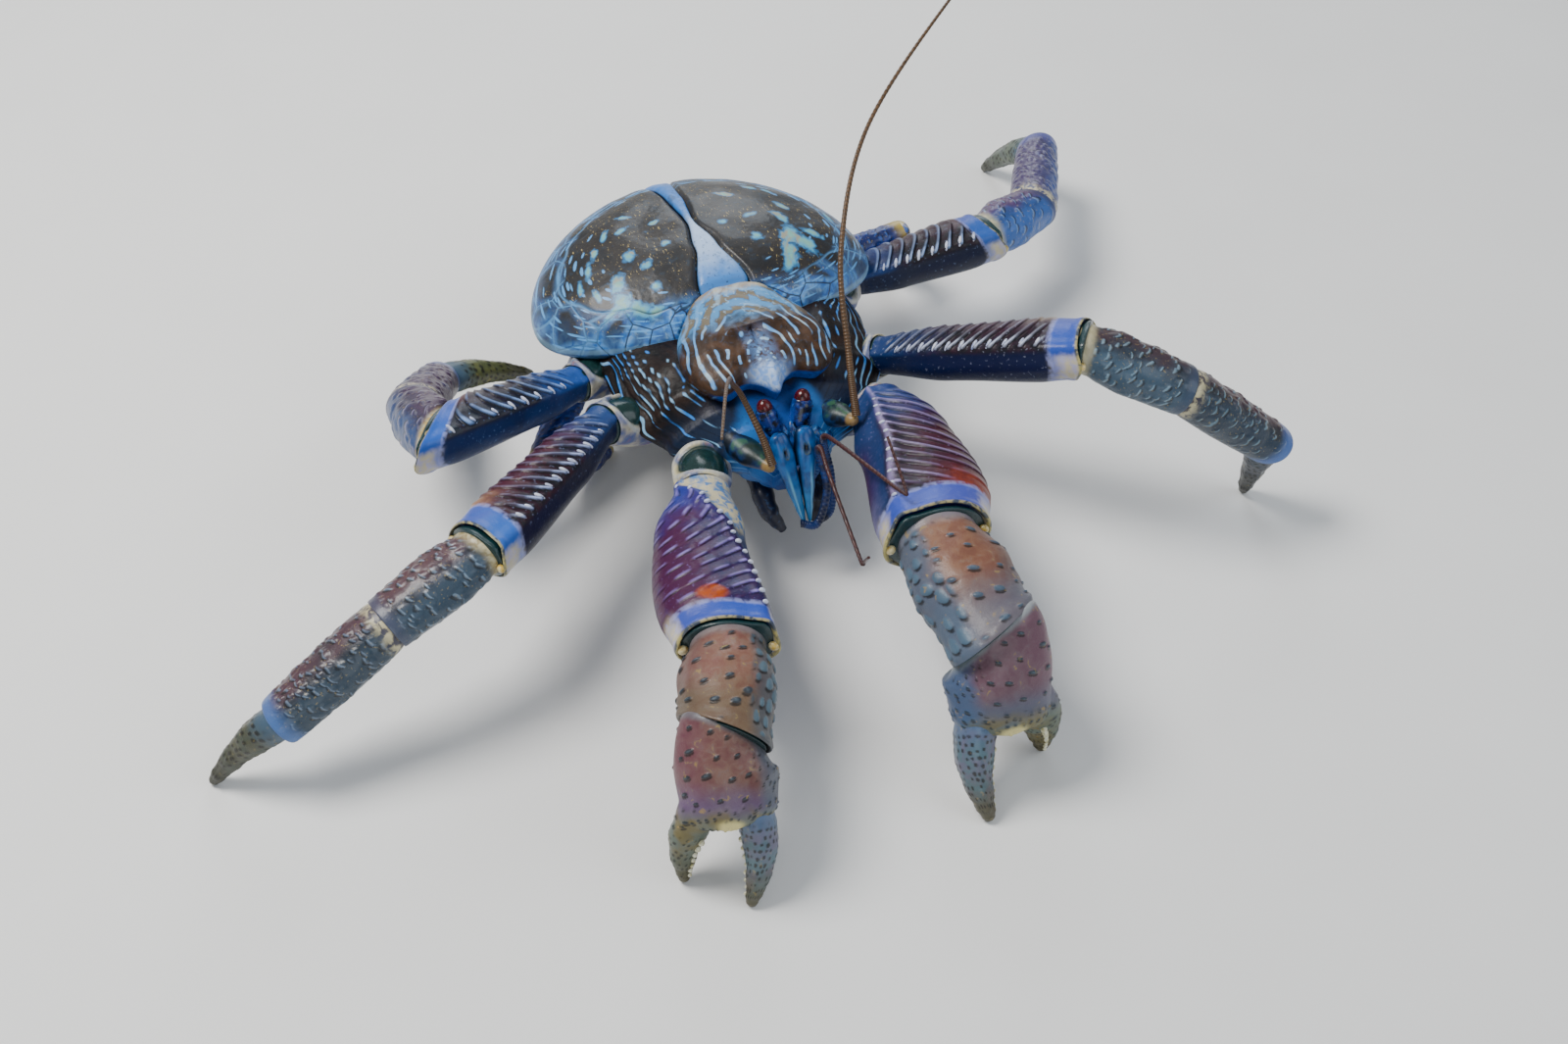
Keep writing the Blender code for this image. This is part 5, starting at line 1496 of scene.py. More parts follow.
def dome_shape(side_name):
    """Shape of a gill dome: v runs from the front to the rear, u from the groove to the rim and under."""
    side = SIDES[side_name]
    rear_y = CARAPACE_WIDEST_Y + CARAPACE_REAR_REACH - 0.15

    def strokes(outer, arc, wave):
        """Long thin dashes along the rim, dense beside it and sparse farther in."""
        deep = 4.0 * max(outer, 0.0) ** 0.7
        close_by = scales(deep, arc, 3.4, 11.0, side * 2.0, long=0.14, wide=0.42, jitter=0.7,
                          drop=1.0, spare=0.2, slant=-0.06)
        sparse = scales(deep, arc, 6.5, 12.0, side * 5.0, long=0.09, wide=0.27, jitter=0.8,
                        drop=1.0, spare=0.45, slant=-0.06)
        close_by *= 1.0 - step(outer + 6.0 * wave, 7.0, 12.0)
        sparse *= step(outer, 6.0, 9.0) * (1.0 - step(outer + 8.0 * wave, 17.0, 22.0))
        return max(close_by, sparse, 0.0)

    def shape(u, v):
        y = DOME_FRONT_Y + (rear_y - DOME_FRONT_Y) * (0.5 - 0.5 * math.cos(math.pi * v))
        groove = suture_x(y, side) + 0.1
        rim = max(rim_x(y), groove + 0.02)
        width = rim - groove
        top, lip = 0.74, 0.80
        marks = {"ahead": 0.0, "face": -1.0}
        if u <= top:
            k = 1.0 - (1.0 - u / top) ** 1.6
            x = groove + width * k
            z = dome_height(x, y)
            near = x - groove
            scale = dome_edge(x, y)[0]
            a, b = ring_place(x, y)
            arc = math.atan2(b, a) * MEAN_RADIUS
            outer = (1.0 - scale) * MEAN_RADIUS
            wave = cloud_at(x * 0.09, y * 0.09, side * 3.0)
            z -= 1.3 * math.exp(-(near / 0.75) ** 2) * min(1.0, width / 6.0)
            z += wave * 0.7 * step(outer, 0.5, 5.0) * step(near, 0.5, 4.0)
            suture = math.exp(-((outer - 9.5 - 3.0 * wave) / 0.34) ** 2) * step(near, 1.0, 3.0)
            z -= 0.22 * suture
            z += cloud_at(x * 0.7, y * 0.7, side) * 0.05
            marks = {"band": 1.0 - step(outer, 0.1, 0.45), "line": suture,
                     "relief": strokes(outer, arc, wave), "ahead": outer,
                     "face": blot_field(x * side, y, side_name)}
        else:
            edge = dome_edge(rim, y)[1]
            inset = min(2.4, width * 0.4)
            k = min(1.0, (u - top) / (lip - top))
            x = rim - inset * k * k + 0.3 * math.sin(math.pi * k)
            z = edge - 2.8 * k
            marks["band"] = 1.0 - step(k, 0.05, 0.25)
            marks["line"] = step(k, 0.2, 0.5)
            if u > lip:
                k = min(1.0, (u - lip) / (1.0 - lip) * 1.3)
                inner_z = dome_height(groove, y) - 1.3
                x = rim - inset - (width - inset) * k
                deep = edge - 2.8 - 4.3 * math.sin(math.pi * k / 2)
                rest = max(0.0, (u - lip) / (1.0 - lip) - 0.77) / 0.23
                z = deep + (inner_z - deep) * rest
        marks["along"] = y
        marks["above"] = x
        return mm(x * side, y, z), marks
    return shape


def heart_shape(u, v):
    """The plate between the domes: a narrow tube with a flat lower side."""
    y = HEART_FRONT_Y + HEART_LENGTH * v
    right, left = ease(HEART_ROWS, y)
    half = math.sin(2.0 * math.pi * u)
    across = math.cos(2.0 * math.pi * u)
    close = min(1.0, (v / 0.015) ** 0.5, ((1.0 - v) / 0.015) ** 0.5)
    x = (right + left) / 2 + (left - right - 0.1) / 2 * across * close
    z = dome_height(x, y)
    edge = abs(across) * close
    if half >= 0:
        z += 0.3 * (1.0 - edge ** 2) - 1.5 * edge ** 10 - 1.6 * (1.0 - step(y, -18.6, -16.4))
        z += 0.25 * cloud_at(x * 0.3, y * 0.3, 5.0)
    else:
        z -= 1.8 + 3.5 * abs(half) * close
    return mm(x, y, z), {"along": y, "above": x, "relief": (1.0 - edge) * (left - right) / 2, "band": edge}


SHIELD_LOOP = [Vector((x, y, 0.0)) for x, y in SHIELD_OUTLINE]
SHIELD_LOOP += [Vector((-x, y, 0.0)) for x, y in reversed(SHIELD_OUTLINE[1:-1])]
SHIELD_PROFILE = [(0.0, 0.0, -11.0), (0.08, 0.70, -10.5), (0.15, 0.90, -8.0), (0.20, 0.97, -4.0),
                  (0.245, 0.992, -1.6), (0.27, 1.0, -0.3), (0.285, 0.995, 0.0), (1.0, 0.0, 0.0)]
SHIELD_EDGE_V = 0.27


def ripples(distance, around, seed, pitch, warp, keep=0.0):
    """Wavy contour lines: their rise and their broken crest, both 0 to 1. keep closes the breaks."""
    phase = (distance + warp) / pitch
    row = math.floor(phase)
    f = phase - row
    rise = between(f, 0.0, 0.60, 0.62, 1.0)
    crest = max(0.0, 1.0 - abs(f - 0.70) / 0.27)
    gaps = step(cloud_at(around, row * 4.3, seed) + keep, -0.12, 0.12)
    return rise, crest * gaps


def shield_shape(u, v):
    scale, drop = line(SHIELD_PROFILE, v)
    rim = loop_at(SHIELD_LOOP, u)
    far = (SHIELD_CENTRE_Y - rim.y) / 25.0
    scale -= 0.07 * step(far, 0.3, 0.8) * min(1.0, -drop / 4.0)
    x = rim.x * scale
    y = SHIELD_CENTRE_Y + (rim.y - SHIELD_CENTRE_Y) * scale
    edge = SHIELD_MARGIN_Z + 9.0 * step(rim.y, -28.0, -17.5)
    crown = SHIELD_TOP_Z + 0.6 - 2.5 * max(0.0, far * (1.0 - 0.3 * scale))
    top = v >= SHIELD_EDGE_V
    rise = (1.0 - min(scale, 1.0) ** 3.0) ** 0.5 if top else 0.0
    z = edge + (crown - edge) * rise + drop
    ahead = y - RIPPLE_CENTRE_Y
    distance = math.hypot(x, ahead * (0.60 if ahead > 0.0 else 1.1))
    warp = cloud_at(x * 0.10, y * 0.10, 2.0) * 3.0
    warp += cloud_at(x * 0.35, y * 0.35, 6.0) * 0.35
    around = math.atan2(x, ahead) * 2.6 + 0.05 * distance
    rise, crest = ripples(distance, around, 2.0, 3.1, warp, 0.45 * step(distance, 13.0, 22.0))
    cover = step(1.0 - scale, 0.0, 0.05) if top else 0.6
    z += 0.14 * rise * cover
    if top:
        z += 0.9 * math.exp(-(x / 2.6) ** 2) * step(-y, 50.0, 60.0)
        z += 0.4 * cloud_at(x * 0.14, y * 0.14, 8.0)
    below = step(-rim.y, 50.0, 56.0) * (1.0 - step(abs(rim.x), 18.0, 22.0))
    marks = {"along": y, "above": x, "relief": rise * cover, "line": crest * cover,
             "band": step(scale, 0.90, 1.0), "face": 0.0 if top else below, "ahead": distance}
    return mm(x, y, z), marks


print("top of the domes:", round(dome_height(0.0, CARAPACE_WIDEST_Y), 1), "mm, blots:",
      sum(map(len, BLOTS.values())))

# %% [markdown]
# ## Paint of the carapace
#
# The domes are dark with azure margins, pale blots and thin dashes along the rim. The large blots lie
# where the photo has them, so the shape function stores how deep every point lies in a blot, and the
# material only turns that number into colours. Noise adds the small flecks.

# %% Carapace paint
dome_paint = Paint("gill_domes")
dome_y = dome_paint.mark("along")
dome_out = dome_paint.mark("ahead")
dome_cloud = dome_paint.noise(15.0, 5.0, 0.8)
dome_fine = dome_paint.noise(2.6, 5.0, 0.6)
dome_grain = dome_paint.noise(0.45, 3.0)
dome_fleck = dome_paint.noise(0.6, 3.0, 0.6, stretch=(1.0, 0.35, 1.0)).step(0.64, 0.68)
fleck_area = dome_cloud.step(0.38, 0.55)
margin = 1.0 - (dome_out + (dome_cloud - 0.5) * 6.0 + (dome_fine - 0.5) * 4.0).step(0.5, 6.0)
forward = 1.0 - (dome_y + (dome_cloud - 0.5) * 7.0 + (dome_fine - 0.5) * 5.0).step(-24.0, -16.0)
front_part = 1.0 - (dome_y + (dome_cloud - 0.5) * 12.0).step(-22.0, -9.0)
plates = dome_paint.cells(11.5, "DISTANCE_TO_EDGE")
plate_middle = (plates + (dome_fine - 0.5) * 0.2).step(0.06, 0.22)
outer_zone = 1.0 - dome_out.step(9.5, 11.0)
azure = dome_paint.mix(dome_fine.step(0.35, 0.65), "2464b0", "5a9ee0")
seam = dome_paint.mix(front_part, "5088b8", "0a0e14")
dome_dark = dome_paint.mix(dome_cloud.step(0.35, 0.65), "1c1d20", "2e2a27")
blot = dome_paint.mark("face") + (dome_fine - 0.5) * 2.2 + (dome_cloud - 0.5) * 0.8
dome_colour = dome_paint.layers(
    dome_dark,
    (dome_fine.step(0.52, 0.68) * 0.35, "243a50"),
    (outer_zone * (1.0 - plate_middle) * (front_part * 0.5 + 0.25), azure),
    (margin.most(forward * 0.85) * (1.0 - plate_middle * outer_zone * 0.5) * (front_part * 0.6 + 0.4),
     azure),
    (forward * dome_fine.step(0.55, 0.70) * 0.5, "a8c8e8"),
    (dome_fleck * fleck_area * (1.0 - margin) * 0.75, "b09c64"),
    (dome_paint.mark("relief").step(0.10, 0.45) * 0.85, "5ea6e4"),
    (blot.step(-0.55, 0.0) * 0.65, "2f7cb4"),
    (blot.step(-0.10, 0.35) * 0.85, "5aa8c4"),
    (blot.step(0.35, 0.85) * 0.65, "84b496"),
    (blot.step(0.0, 0.3) * (1.0 - blot.step(0.5, 0.9)) * dome_cloud.step(0.52, 0.60) * 0.65, "ac8a44"),
    (outer_zone * (1.0 - plates.step(0.010, 0.030)) * 0.85, seam),
    (dome_paint.mark("line") * 0.9, seam),
    (dome_paint.mark("band") * 0.5, "7ca4b8"),
)
dome_rough = dome_grain * 0.14 + 0.30 + dome_fleck * 0.2 + dome_fine * 0.10
dome_height_map = dome_grain * 0.25 + dome_fine * 0.45 - (outer_zone * (1.0 - plates.step(0.0, 0.05))) * 0.5
dome_material = dome_paint.finish(dome_colour, dome_rough, dome_height_map, 0.22, 0.12)

heart_paint = Paint("heart_plate")
heart_y = heart_paint.mark("along")
heart_cloud = heart_paint.noise(7.0, 5.0, 0.6)
heart_fine = heart_paint.noise(1.6, 4.0)
heart_rear = heart_y.step(10.0, 20.0)
heart_front = heart_paint.mix((heart_y + (heart_cloud - 0.5) * 12.0).step(-17.0, -4.0), "3f82cc",
                              "a8c4ea")
heart_colour = heart_paint.layers(
    heart_paint.mix(heart_rear, heart_front, "3276c4"),
    (heart_fine.step(0.58, 0.66) * 0.35, "2c5890"),
    (heart_paint.noise(0.8, 2.0).step(0.66, 0.70) * 0.7, "1c2c44"),
    (heart_cloud.step(0.58, 0.68) * heart_rear * 0.5, "20303c"),
    # Near-black edges where the plate dips into its grooves: painted shade between the plate and the domes
    (heart_paint.mark("band").step(0.90, 0.99), "070b12"),
)
heart_material = heart_paint.finish(heart_colour, heart_fine * 0.15 + 0.32, heart_fine, 0.12, 0.12)

shield_paint = Paint("front_shield")
shield_y = shield_paint.mark("along")
shield_x_mark = shield_paint.mark("above")
shield_cloud = shield_paint.noise(8.0, 5.0, 1.2)
shield_fine = shield_paint.noise(1.8, 5.0, 0.8)
shield_grain = shield_paint.noise(0.5, 3.0)
rear_share = (shield_y + (shield_cloud - 0.5) * 16.0).step(-41.0, -31.0)
swirl = (shield_paint.mark("ahead") * 0.21 + shield_cloud * 1.8).wave()
marbled = shield_paint.layers(
    shield_paint.mix(swirl.step(0.2, 0.7), "1e5684", "4c8cc0"),
    ((1.0 - swirl).step(0.55, 0.85) * 0.75, "7c6a3a"),
    (shield_fine.step(0.58, 0.68) * 0.6, "94bcd8"),
)
middle_x = (shield_x_mark * shield_x_mark + (shield_fine - 0.5) * 60.0) * 0.01
fan = (1.0 - middle_x.step(0.02, 0.4)) * (1.0 - (shield_y + (shield_fine - 0.5) * 10.0).step(-46.0, -38.0))
beak = (1.0 - middle_x.step(0.1, 1.0)) * (1.0 - (shield_y + (shield_cloud - 0.5) * 6.0).step(-60.0, -54.0))
corner = (shield_y + (shield_fine - 0.5) * 5.0).step(-23.5, -20.0)
shield_colour = shield_paint.layers(
    shield_paint.mix(shield_cloud.step(0.35, 0.65), "2a1c12", "4a3220"),
    (shield_fine.step(0.54, 0.70) * 0.3, "37506a"),
    (rear_share, marbled),
    (corner * 0.7, shield_paint.mix(shield_cloud.step(0.4, 0.6), "a8843c", "d0c8b0")),
    (fan * shield_fine.step(0.30, 0.60) * 0.6, "5c8cc8"),
    (shield_paint.mark("line").step(0.30, 0.70) * (shield_fine * 0.8 + 0.5).least(1.0)
     * (1.0 - rear_share * 0.5),
     shield_paint.mix(shield_cloud.step(0.4, 0.6), "62a4e4", "a4c4d8")),
    (beak * 0.9, shield_paint.mix(shield_fine.step(0.4, 0.6), "7ca8ec", "b4ccf0")),
    (shield_paint.mark("face"), shield_paint.mix(shield_fine, "062a78", "1060c0")),
)
shield_rough = shield_grain * 0.15 + 0.34 + shield_fine * 0.1
shield_material = shield_paint.finish(shield_colour, shield_rough, shield_grain * 0.3 + shield_fine * 0.7,
                                      0.2, 0.05, 0.28)

print("carapace materials:", [part.name for part in (dome_material, heart_material, shield_material)])

# %% Build the carapace
for side_name in SIDES:
    name = "branchial_" + side_name
    skin(name, 240, 250, dome_shape(side_name), dome_material, [name])
skin("cardiac_plate", 60, 160, heart_shape, heart_material, ["cardiac_plate"])
skin("gastric_shield", 320, 200, shield_shape, shield_material, ["gastric_shield"])
print("pieces:", len(SKINS))

# %% [markdown]
# ## Trunk
#
# Under the domes the side walls fall steeply to the leg roots, with wavy blue lines that run lengthwise.
# The trunk is a tube through a row of sections. Each line is raised and coloured at once, from
# the distance down the wall and a little noise.

# %% Trunk
THORAX_STATIONS = [
    # y, top, shoulder x z, widest x z, flank edge x z, wall top x z, wall foot x z, underside
    (-80.0, 39.0, 5.0, 38.5, 8.0, 36.0, 8.5, 33.0, 7.5, 31.0, 6.0, 29.5, 29.0),
    (-75.0, 45.0, 9.0, 44.0, 14.0, 40.0, 14.5, 36.0, 12.0, 32.5, 9.0, 28.5, 27.5),
    (-68.0, 49.0, 14.0, 48.5, 25.0, 42.0, 26.0, 36.5, 17.5, 33.5, 13.0, 27.0, 26.0),
    (-60.0, 53.0, 20.0, 52.5, 34.0, 44.0, 35.5, 38.0, 21.0, 36.0, 17.0, 26.0, 25.0),
    (-50.0, 55.5, 25.5, 56.0, 39.5, 46.0, 41.5, 40.0, 26.0, 38.0, 20.0, 25.5, 24.5),
    (-36.0, 56.0, 26.0, 57.0, 42.0, 47.5, 44.0, 41.5, 32.0, 39.0, 25.0, 25.5, 24.5),
    (-20.0, 56.0, 30.0, 55.0, 43.0, 48.5, 45.0, 42.5, 36.0, 40.0, 29.0, 26.5, 25.5),
    (4.0, 56.0, 34.0, 53.0, 43.5, 47.5, 45.0, 42.5, 38.0, 40.5, 30.0, 28.0, 27.0),
    (24.0, 54.0, 30.0, 51.0, 38.0, 47.0, 39.0, 43.0, 33.0, 41.0, 26.0, 30.0, 29.0),
    (37.0, 52.0, 22.0, 50.0, 28.0, 47.0, 28.5, 44.0, 24.0, 42.0, 18.0, 33.0, 32.0),
    (46.0, 50.0, 13.0, 48.5, 16.0, 46.5, 16.0, 44.5, 14.0, 43.0, 10.0, 38.0, 37.0),
]
TRUNK_MIDDLE_Z = 40.0
TRUNK_FRONT_Y = -80.0
TRUNK_LENGTH = 126.0
TRUNK_CAP = 0.03


def trunk_ring(y):
    values = ease(THORAX_STATIONS, y)
    half = list(zip(values[1:-1:2], values[2:-1:2]))
    ring = [Vector((0.0, 0.0, values[0]))] + [Vector((x, 0.0, z)) for x, z in half]
    return ring + [Vector((0.0, 0.0, values[-1]))] + [Vector((-x, 0.0, z)) for x, z in reversed(half)]


WALL_LEVELS = [(0.0, -20.0), (1.0, 0.0), (2.0, 19.0), (3.0, 25.0), (4.0, 36.0), (5.0, 50.0), (6.0, 62.0)]


def thorax_shape(u, v):
    """Section of the trunk: v runs from the mouth to the rear, u from the top round."""
    # Most of the steps lie on the walls, few on the hidden top and underside
    half = min(u, 1.0 - u) * 2.0
    half = (half + 0.08 * math.sin(2.0 * math.pi * half)) / 2
    u = half if u < 0.5 else 1.0 - half
    close = min(1.0, (v / TRUNK_CAP) ** 0.5, ((1.0 - v) / TRUNK_CAP) ** 0.5)
    y = TRUNK_FRONT_Y + TRUNK_LENGTH * min(max((v - TRUNK_CAP) / (1.0 - 2.0 * TRUNK_CAP), 0.0), 1.0)
    point = loop_at(trunk_ring(y), u)
    y += -1.8 * (1.0 - close) if v < 0.5 else 1.0 * (1.0 - close)
    x = point.x * close
    z = TRUNK_MIDDLE_Z + (point.z - TRUNK_MIDDLE_Z) * close
    out = math.hypot(x, z - TRUNK_MIDDLE_Z)

    # Lines run lengthwise: the level counts millimetres down the wall, whatever the width there
    down = min(u, 1.0 - u) * 12.0
    level = line(WALL_LEVELS, down)[0]
    side = 1.0 if u < 0.5 else -1.0
    warp = cloud_at(y * 0.06, level * 0.06, side) * 5.0
    warp += cloud_at(y * 0.20, level * 0.15, side * 4.0) * 0.6
    rise, crest = ripples(level, y * 0.055, side * 6.0, 2.6, warp, 0.12)
    wall = between(down, 0.6, 1.2, 4.0, 4.8)
    face = 1.0 - step(y, -70.0, -58.0)
    calm = 0.1 + 0.9 * step(y, -62.0, -42.0)
    lump = cloud_at(x * 0.12, y * 0.12, z * 0.12)
    grow = ((0.45 * rise - 0.2) * wall * calm + 0.8 * lump * (1.0 - face)) * close
    x += grow * x / max(out, 1.0)
    z += grow * (z - TRUNK_MIDDLE_Z) / max(out, 1.0)
    return mm(x, y, z), {"along": y, "above": z, "relief": rise * wall, "line": crest * wall,
                         "ahead": abs(x), "face": face}


flank_paint = Paint("side_walls")
flank_z = flank_paint.mark("above")
flank_y = flank_paint.mark("along")
flank_cloud = flank_paint.noise(9.0, 5.0, 0.8)
flank_fine = flank_paint.noise(1.8, 4.0, 0.6)
flank_low = 1.0 - (flank_z + (flank_cloud - 0.5) * 8.0).step(36.0, 43.0)
flank_under = 1.0 - (flank_z + (flank_cloud - 0.5) * 4.0).step(29.0, 34.0)
flank_x = flank_paint.mark("ahead")
front_blue = 1.0 - (flank_y + (flank_x - 10.0).most(0.0) * 1.3
                    + (flank_cloud - 0.5) * 8.0).step(-64.0, -55.0)
front_tone = flank_paint.layers(
    flank_paint.mix(flank_fine, "042c6c", "0a4e9c"),
    ((flank_x + (flank_cloud - 0.5) * 8.0).step(7.0, 12.0) * 0.6, "2c78c4"),
    (flank_fine.step(0.60, 0.70) * 0.4, "041838"),
)
flank_front = 1.0 - (flank_y + (flank_cloud - 0.5) * 8.0).step(-66.0, -52.0)
flank_colour = flank_paint.layers(
    flank_paint.mix(flank_cloud.step(0.35, 0.65), "0b090a", "241712"),
    (flank_low.most(flank_front) * 0.75, flank_paint.mix(flank_cloud, "071830", "0d3054")),
    # Painted shade where the raised lines are low: in the troughs between them, and off the walls
    ((1.0 - flank_paint.mark("relief").step(0.0, 0.3)) * 0.5, "040608"),
    (front_blue * 0.92, front_tone),
    (flank_paint.mark("line").step(0.30, 0.70) * (flank_fine * 0.8 + 0.5).least(1.0)
     * (1.0 - front_blue * 0.5),
     flank_paint.mix(flank_cloud.step(0.42, 0.58), "2f80d8", "84b8dc")),
    (flank_cloud.step(0.62, 0.68) * flank_low * 0.6, "b09a58"),
    (flank_under * (1.0 - front_blue.most(flank_front * 0.8) * 0.9) * 0.85,
     flank_paint.mix(flank_fine, "8c8468", "505870")),
)
flank_rough = flank_fine * 0.12 + 0.38
flank_paint.finish(flank_colour, flank_rough, flank_fine, 0.22, 0.03, 0.2)
skin("thorax", 280, 240, thorax_shape, flank_paint.material, ["thorax"])

print("faces of the trunk:", SKINS["thorax"])

# %% [markdown]
# ## Abdomen
#
# The soft sac of the abdomen curls under the body. One row of points gives its curl, a second one its
# half sizes, and a sine along it the folds. The four hard plates on its back are flat tubes that follow
# the same curl a little farther out, and a last plate closes its end.

# %% Abdomen
ABDOMEN_LINE = [(37.0, 39.5), (53.0, 34.5), (62.0, 26.0), (60.0, 17.5), (48.0, 13.0), (35.0, 12.5)]
ABDOMEN_HALF_SIZES = [(24.0, 7.0), (33.0, 11.0), (36.0, 13.0), (33.0, 11.5), (24.0, 8.0), (12.0, 4.0)]
PLATE_SPANS = [(2, 4), (4, 6), (6, 8), (8, 10)]
PLATE_STEPS = 13.0
PLATE_HALF_ANGLE = 67.0
PLATE_GAP = 0.006
ABDOMEN_CAP = 0.04
FULL_TURN = 6.283
line_points = [Vector((0.0, y, z)) for y, z in ABDOMEN_LINE]
size_points = [Vector((a, b, 0.0)) for a, b in ABDOMEN_HALF_SIZES]


def abdomen_point(s, angle, stand_off=0.0):
    centre = curve_at(line_points, s)
    ahead = curve_at(line_points, s + 0.01) - curve_at(line_points, s - 0.01)
    out = Vector((0.0, -ahead.z, ahead.y)).normalized()
    size = curve_at(size_points, s)
    a = math.radians(angle)
    across = Vector((math.sin(a), 0.0, 0.0)) * (size.x + stand_off)
    return (centre + across + out * (math.cos(a) * (size.y + stand_off))) * MM


def abdomen_shape(u, v):
    angle = 360.0 * u
    s = min(max((v - ABDOMEN_CAP) / (1.0 - 2.0 * ABDOMEN_CAP), 0.0), 1.0)
    close = min(1.0, (v / ABDOMEN_CAP) ** 0.5, ((1.0 - v) / ABDOMEN_CAP) ** 0.5)
    fold = math.sin(s * 120.0 + 2.0 * cloud_at(math.sin(u * FULL_TURN) * 2.0, s * 9.0, 0.0))
    point = abdomen_point(s, angle, 0.35 * fold)
    centre = curve_at(line_points, s) * MM
    return centre + (point - centre) * close, {"along": s, "above": cosine(angle),
                                               "relief": 0.5 + 0.5 * fold}


def plate_shape(first, last):
    low = first / PLATE_STEPS + PLATE_GAP
    high = last / PLATE_STEPS - PLATE_GAP

    def shape(u, v):
        # A flat tube: u goes once round the section, v from one side of the animal to the other
        s = (low + high) / 2 + (high - low) / 2 * math.cos(2.0 * math.pi * u)
        angle = PLATE_HALF_ANGLE * (2.0 * v - 1.0)
        thick = 1.4 if math.sin(2.0 * math.pi * u) > 0 else 0.0
        edge = abs(math.sin(2.0 * math.pi * u)) ** 0.5
        close = min(1.0, (min(v, 1.0 - v) / 0.03) ** 0.5)
        s = (low + high) / 2 + (s - (low + high) / 2) * close
        stand_off = 0.45 + (0.7 + (thick - 0.7) * edge) * close
        bumpy = cloud_at(angle * 0.06, s * 22.0, first) * 0.25 * thick
        return abdomen_point(s, angle, stand_off + bumpy), {"along": s, "above": angle / PLATE_HALF_ANGLE,
                                                            "relief": edge, "band": 1.0 - edge}
    return shape


soft_paint = Paint("soft_abdomen")
soft_cloud = soft_paint.noise(7.0, 5.0, 0.6)
soft_fold = soft_paint.mark("relief")
soft_colour = soft_paint.layers(
    soft_paint.mix(soft_cloud.step(0.3, 0.7), "5a4a58", "7a6670"),
    # Painted shade in the valleys between the folds
    ((1.0 - soft_fold) * 0.5, "2d2a3c"),
    (soft_paint.noise(1.0, 2.0).step(0.60, 0.68) * 0.6, "a89a90"),
)
soft_paint.finish(soft_colour, soft_cloud * 0.2 + 0.45, soft_paint.noise(1.2, 3.0), 0.25, 0.05)
plate_paint = Paint("back_plates")
plate_cloud = plate_paint.noise(6.0, 5.0, 0.8)
plate_grain = plate_paint.noise(0.7, 3.0)
plate_colour = plate_paint.layers(
    plate_paint.mix(plate_cloud.step(0.35, 0.65), "26303c", "3a3230"),
    (plate_paint.noise(3.0, 3.0, 1.0).step(0.55, 0.62) * 0.7, "5a96c8"),
    (plate_paint.mark("band").step(0.3, 0.9) * 0.8, "c8bf98"),
)
plate_paint.finish(plate_colour, plate_grain * 0.15 + 0.3, plate_grain, 0.1, 0.25)
skin("abdomen", 96, 150, abdomen_shape, soft_paint.material, ["abdomen"])
for k, (first, last) in enumerate(PLATE_SPANS):
    name = f"tergite_{k + 1}"
    skin(name, 48, 120, plate_shape(first, last), plate_paint.material, [name])
telson_points = [mm(0.0, 36.5, 12.5), mm(0.0, 22.0, 12.5)]
telson = Link(telson_points, 0, 1.0, [(0.0, 8.5, 2.6), (0.6, 8.0, 2.2), (1.0, 5.0, 1.6)])
skin("telson", 60, 50, link_shape(telson, smooth_link, tip=True), plate_paint.material,
     ["telson"])
print("pieces:", len(SKINS))

# %% [markdown]
# ## Head
#
# The eyes stand on short stalks beside the beak. Between them hang the two azure blades of the first
# feelers, whose thin ends fold up and forward. The long second feelers leave thick dark bases.

# %% Head paints
eye_paint = Paint("eyes")
eye_cloud = eye_paint.noise(1.5, 2.0)
eye_facets = eye_paint.cells(0.35)
eye_colour = eye_paint.mix(eye_cloud.step(0.3, 0.6), "22060a", "520c10")
eye_paint.finish(eye_colour, eye_cloud * 0.05 + 0.16, eye_facets, 0.02, 0.3)
stalk_paint = Paint("eye_stalks")
stalk_cloud = stalk_paint.noise(2.5, 3.0)
stalk_colour = stalk_paint.layers(
    stalk_paint.mix(stalk_cloud.step(0.4, 0.6), "040816", "0c2a74"),
    (stalk_paint.mark("ahead").step(-0.2, -0.9) * 0.6, "1450b0"),
    (stalk_paint.noise(1.2, 3.0).step(0.60, 0.68) * 0.4, "3c7cc4"),
)
stalk_paint.finish(stalk_colour, stalk_cloud * 0.1 + 0.22, stalk_cloud, 0.1, 0.2)
blade_paint = Paint("feeler_blades")
blade_cloud = blade_paint.noise(4.0, 3.0)
blade_along = blade_paint.mark("along")
blade_colour = blade_paint.layers(
    blade_paint.mix(blade_cloud.step(0.35, 0.65), "063a74", "0c60a8"),
    ((blade_along + (blade_cloud - 0.5) * 0.5).step(0.35, 0.95) * 0.6, "1c86c4"),
    (blade_paint.mark("relief") * 0.8, "7cc4e4"),
    (blade_paint.mark("face") * 0.9, "040a1c"),
    # Near-black inner edge: painted shade of the narrow slit between the two blades
    (blade_paint.mark("band") * 0.85, "4c5c48"),
    (blade_paint.mark("line") * 0.95, "040609"),
)
blade_paint.finish(blade_colour, blade_cloud * 0.1 + 0.28, blade_cloud, 0.1, 0.15)
root_paint = Paint("feeler_roots")
root_cloud = root_paint.noise(3.5, 4.0)
root_ahead = (root_paint.mark("above") + (root_cloud - 0.5)).step(0.2, 0.9)
root_colour = root_paint.layers(
    root_paint.mix(root_cloud.step(0.40, 0.60), "0a1420", "12305c"),
    (root_ahead * root_paint.mark("along").step(0.25, 0.5) * 0.8, "10281c"),
    (root_ahead * root_cloud.step(0.52, 0.66) * 0.7, "34603a"),
    (root_paint.mark("along").step(0.86, 0.94) * 0.8, "9a7a44"),
)
root_paint.finish(root_colour, root_cloud * 0.12 + 0.34, root_cloud, 0.15, 0.05)
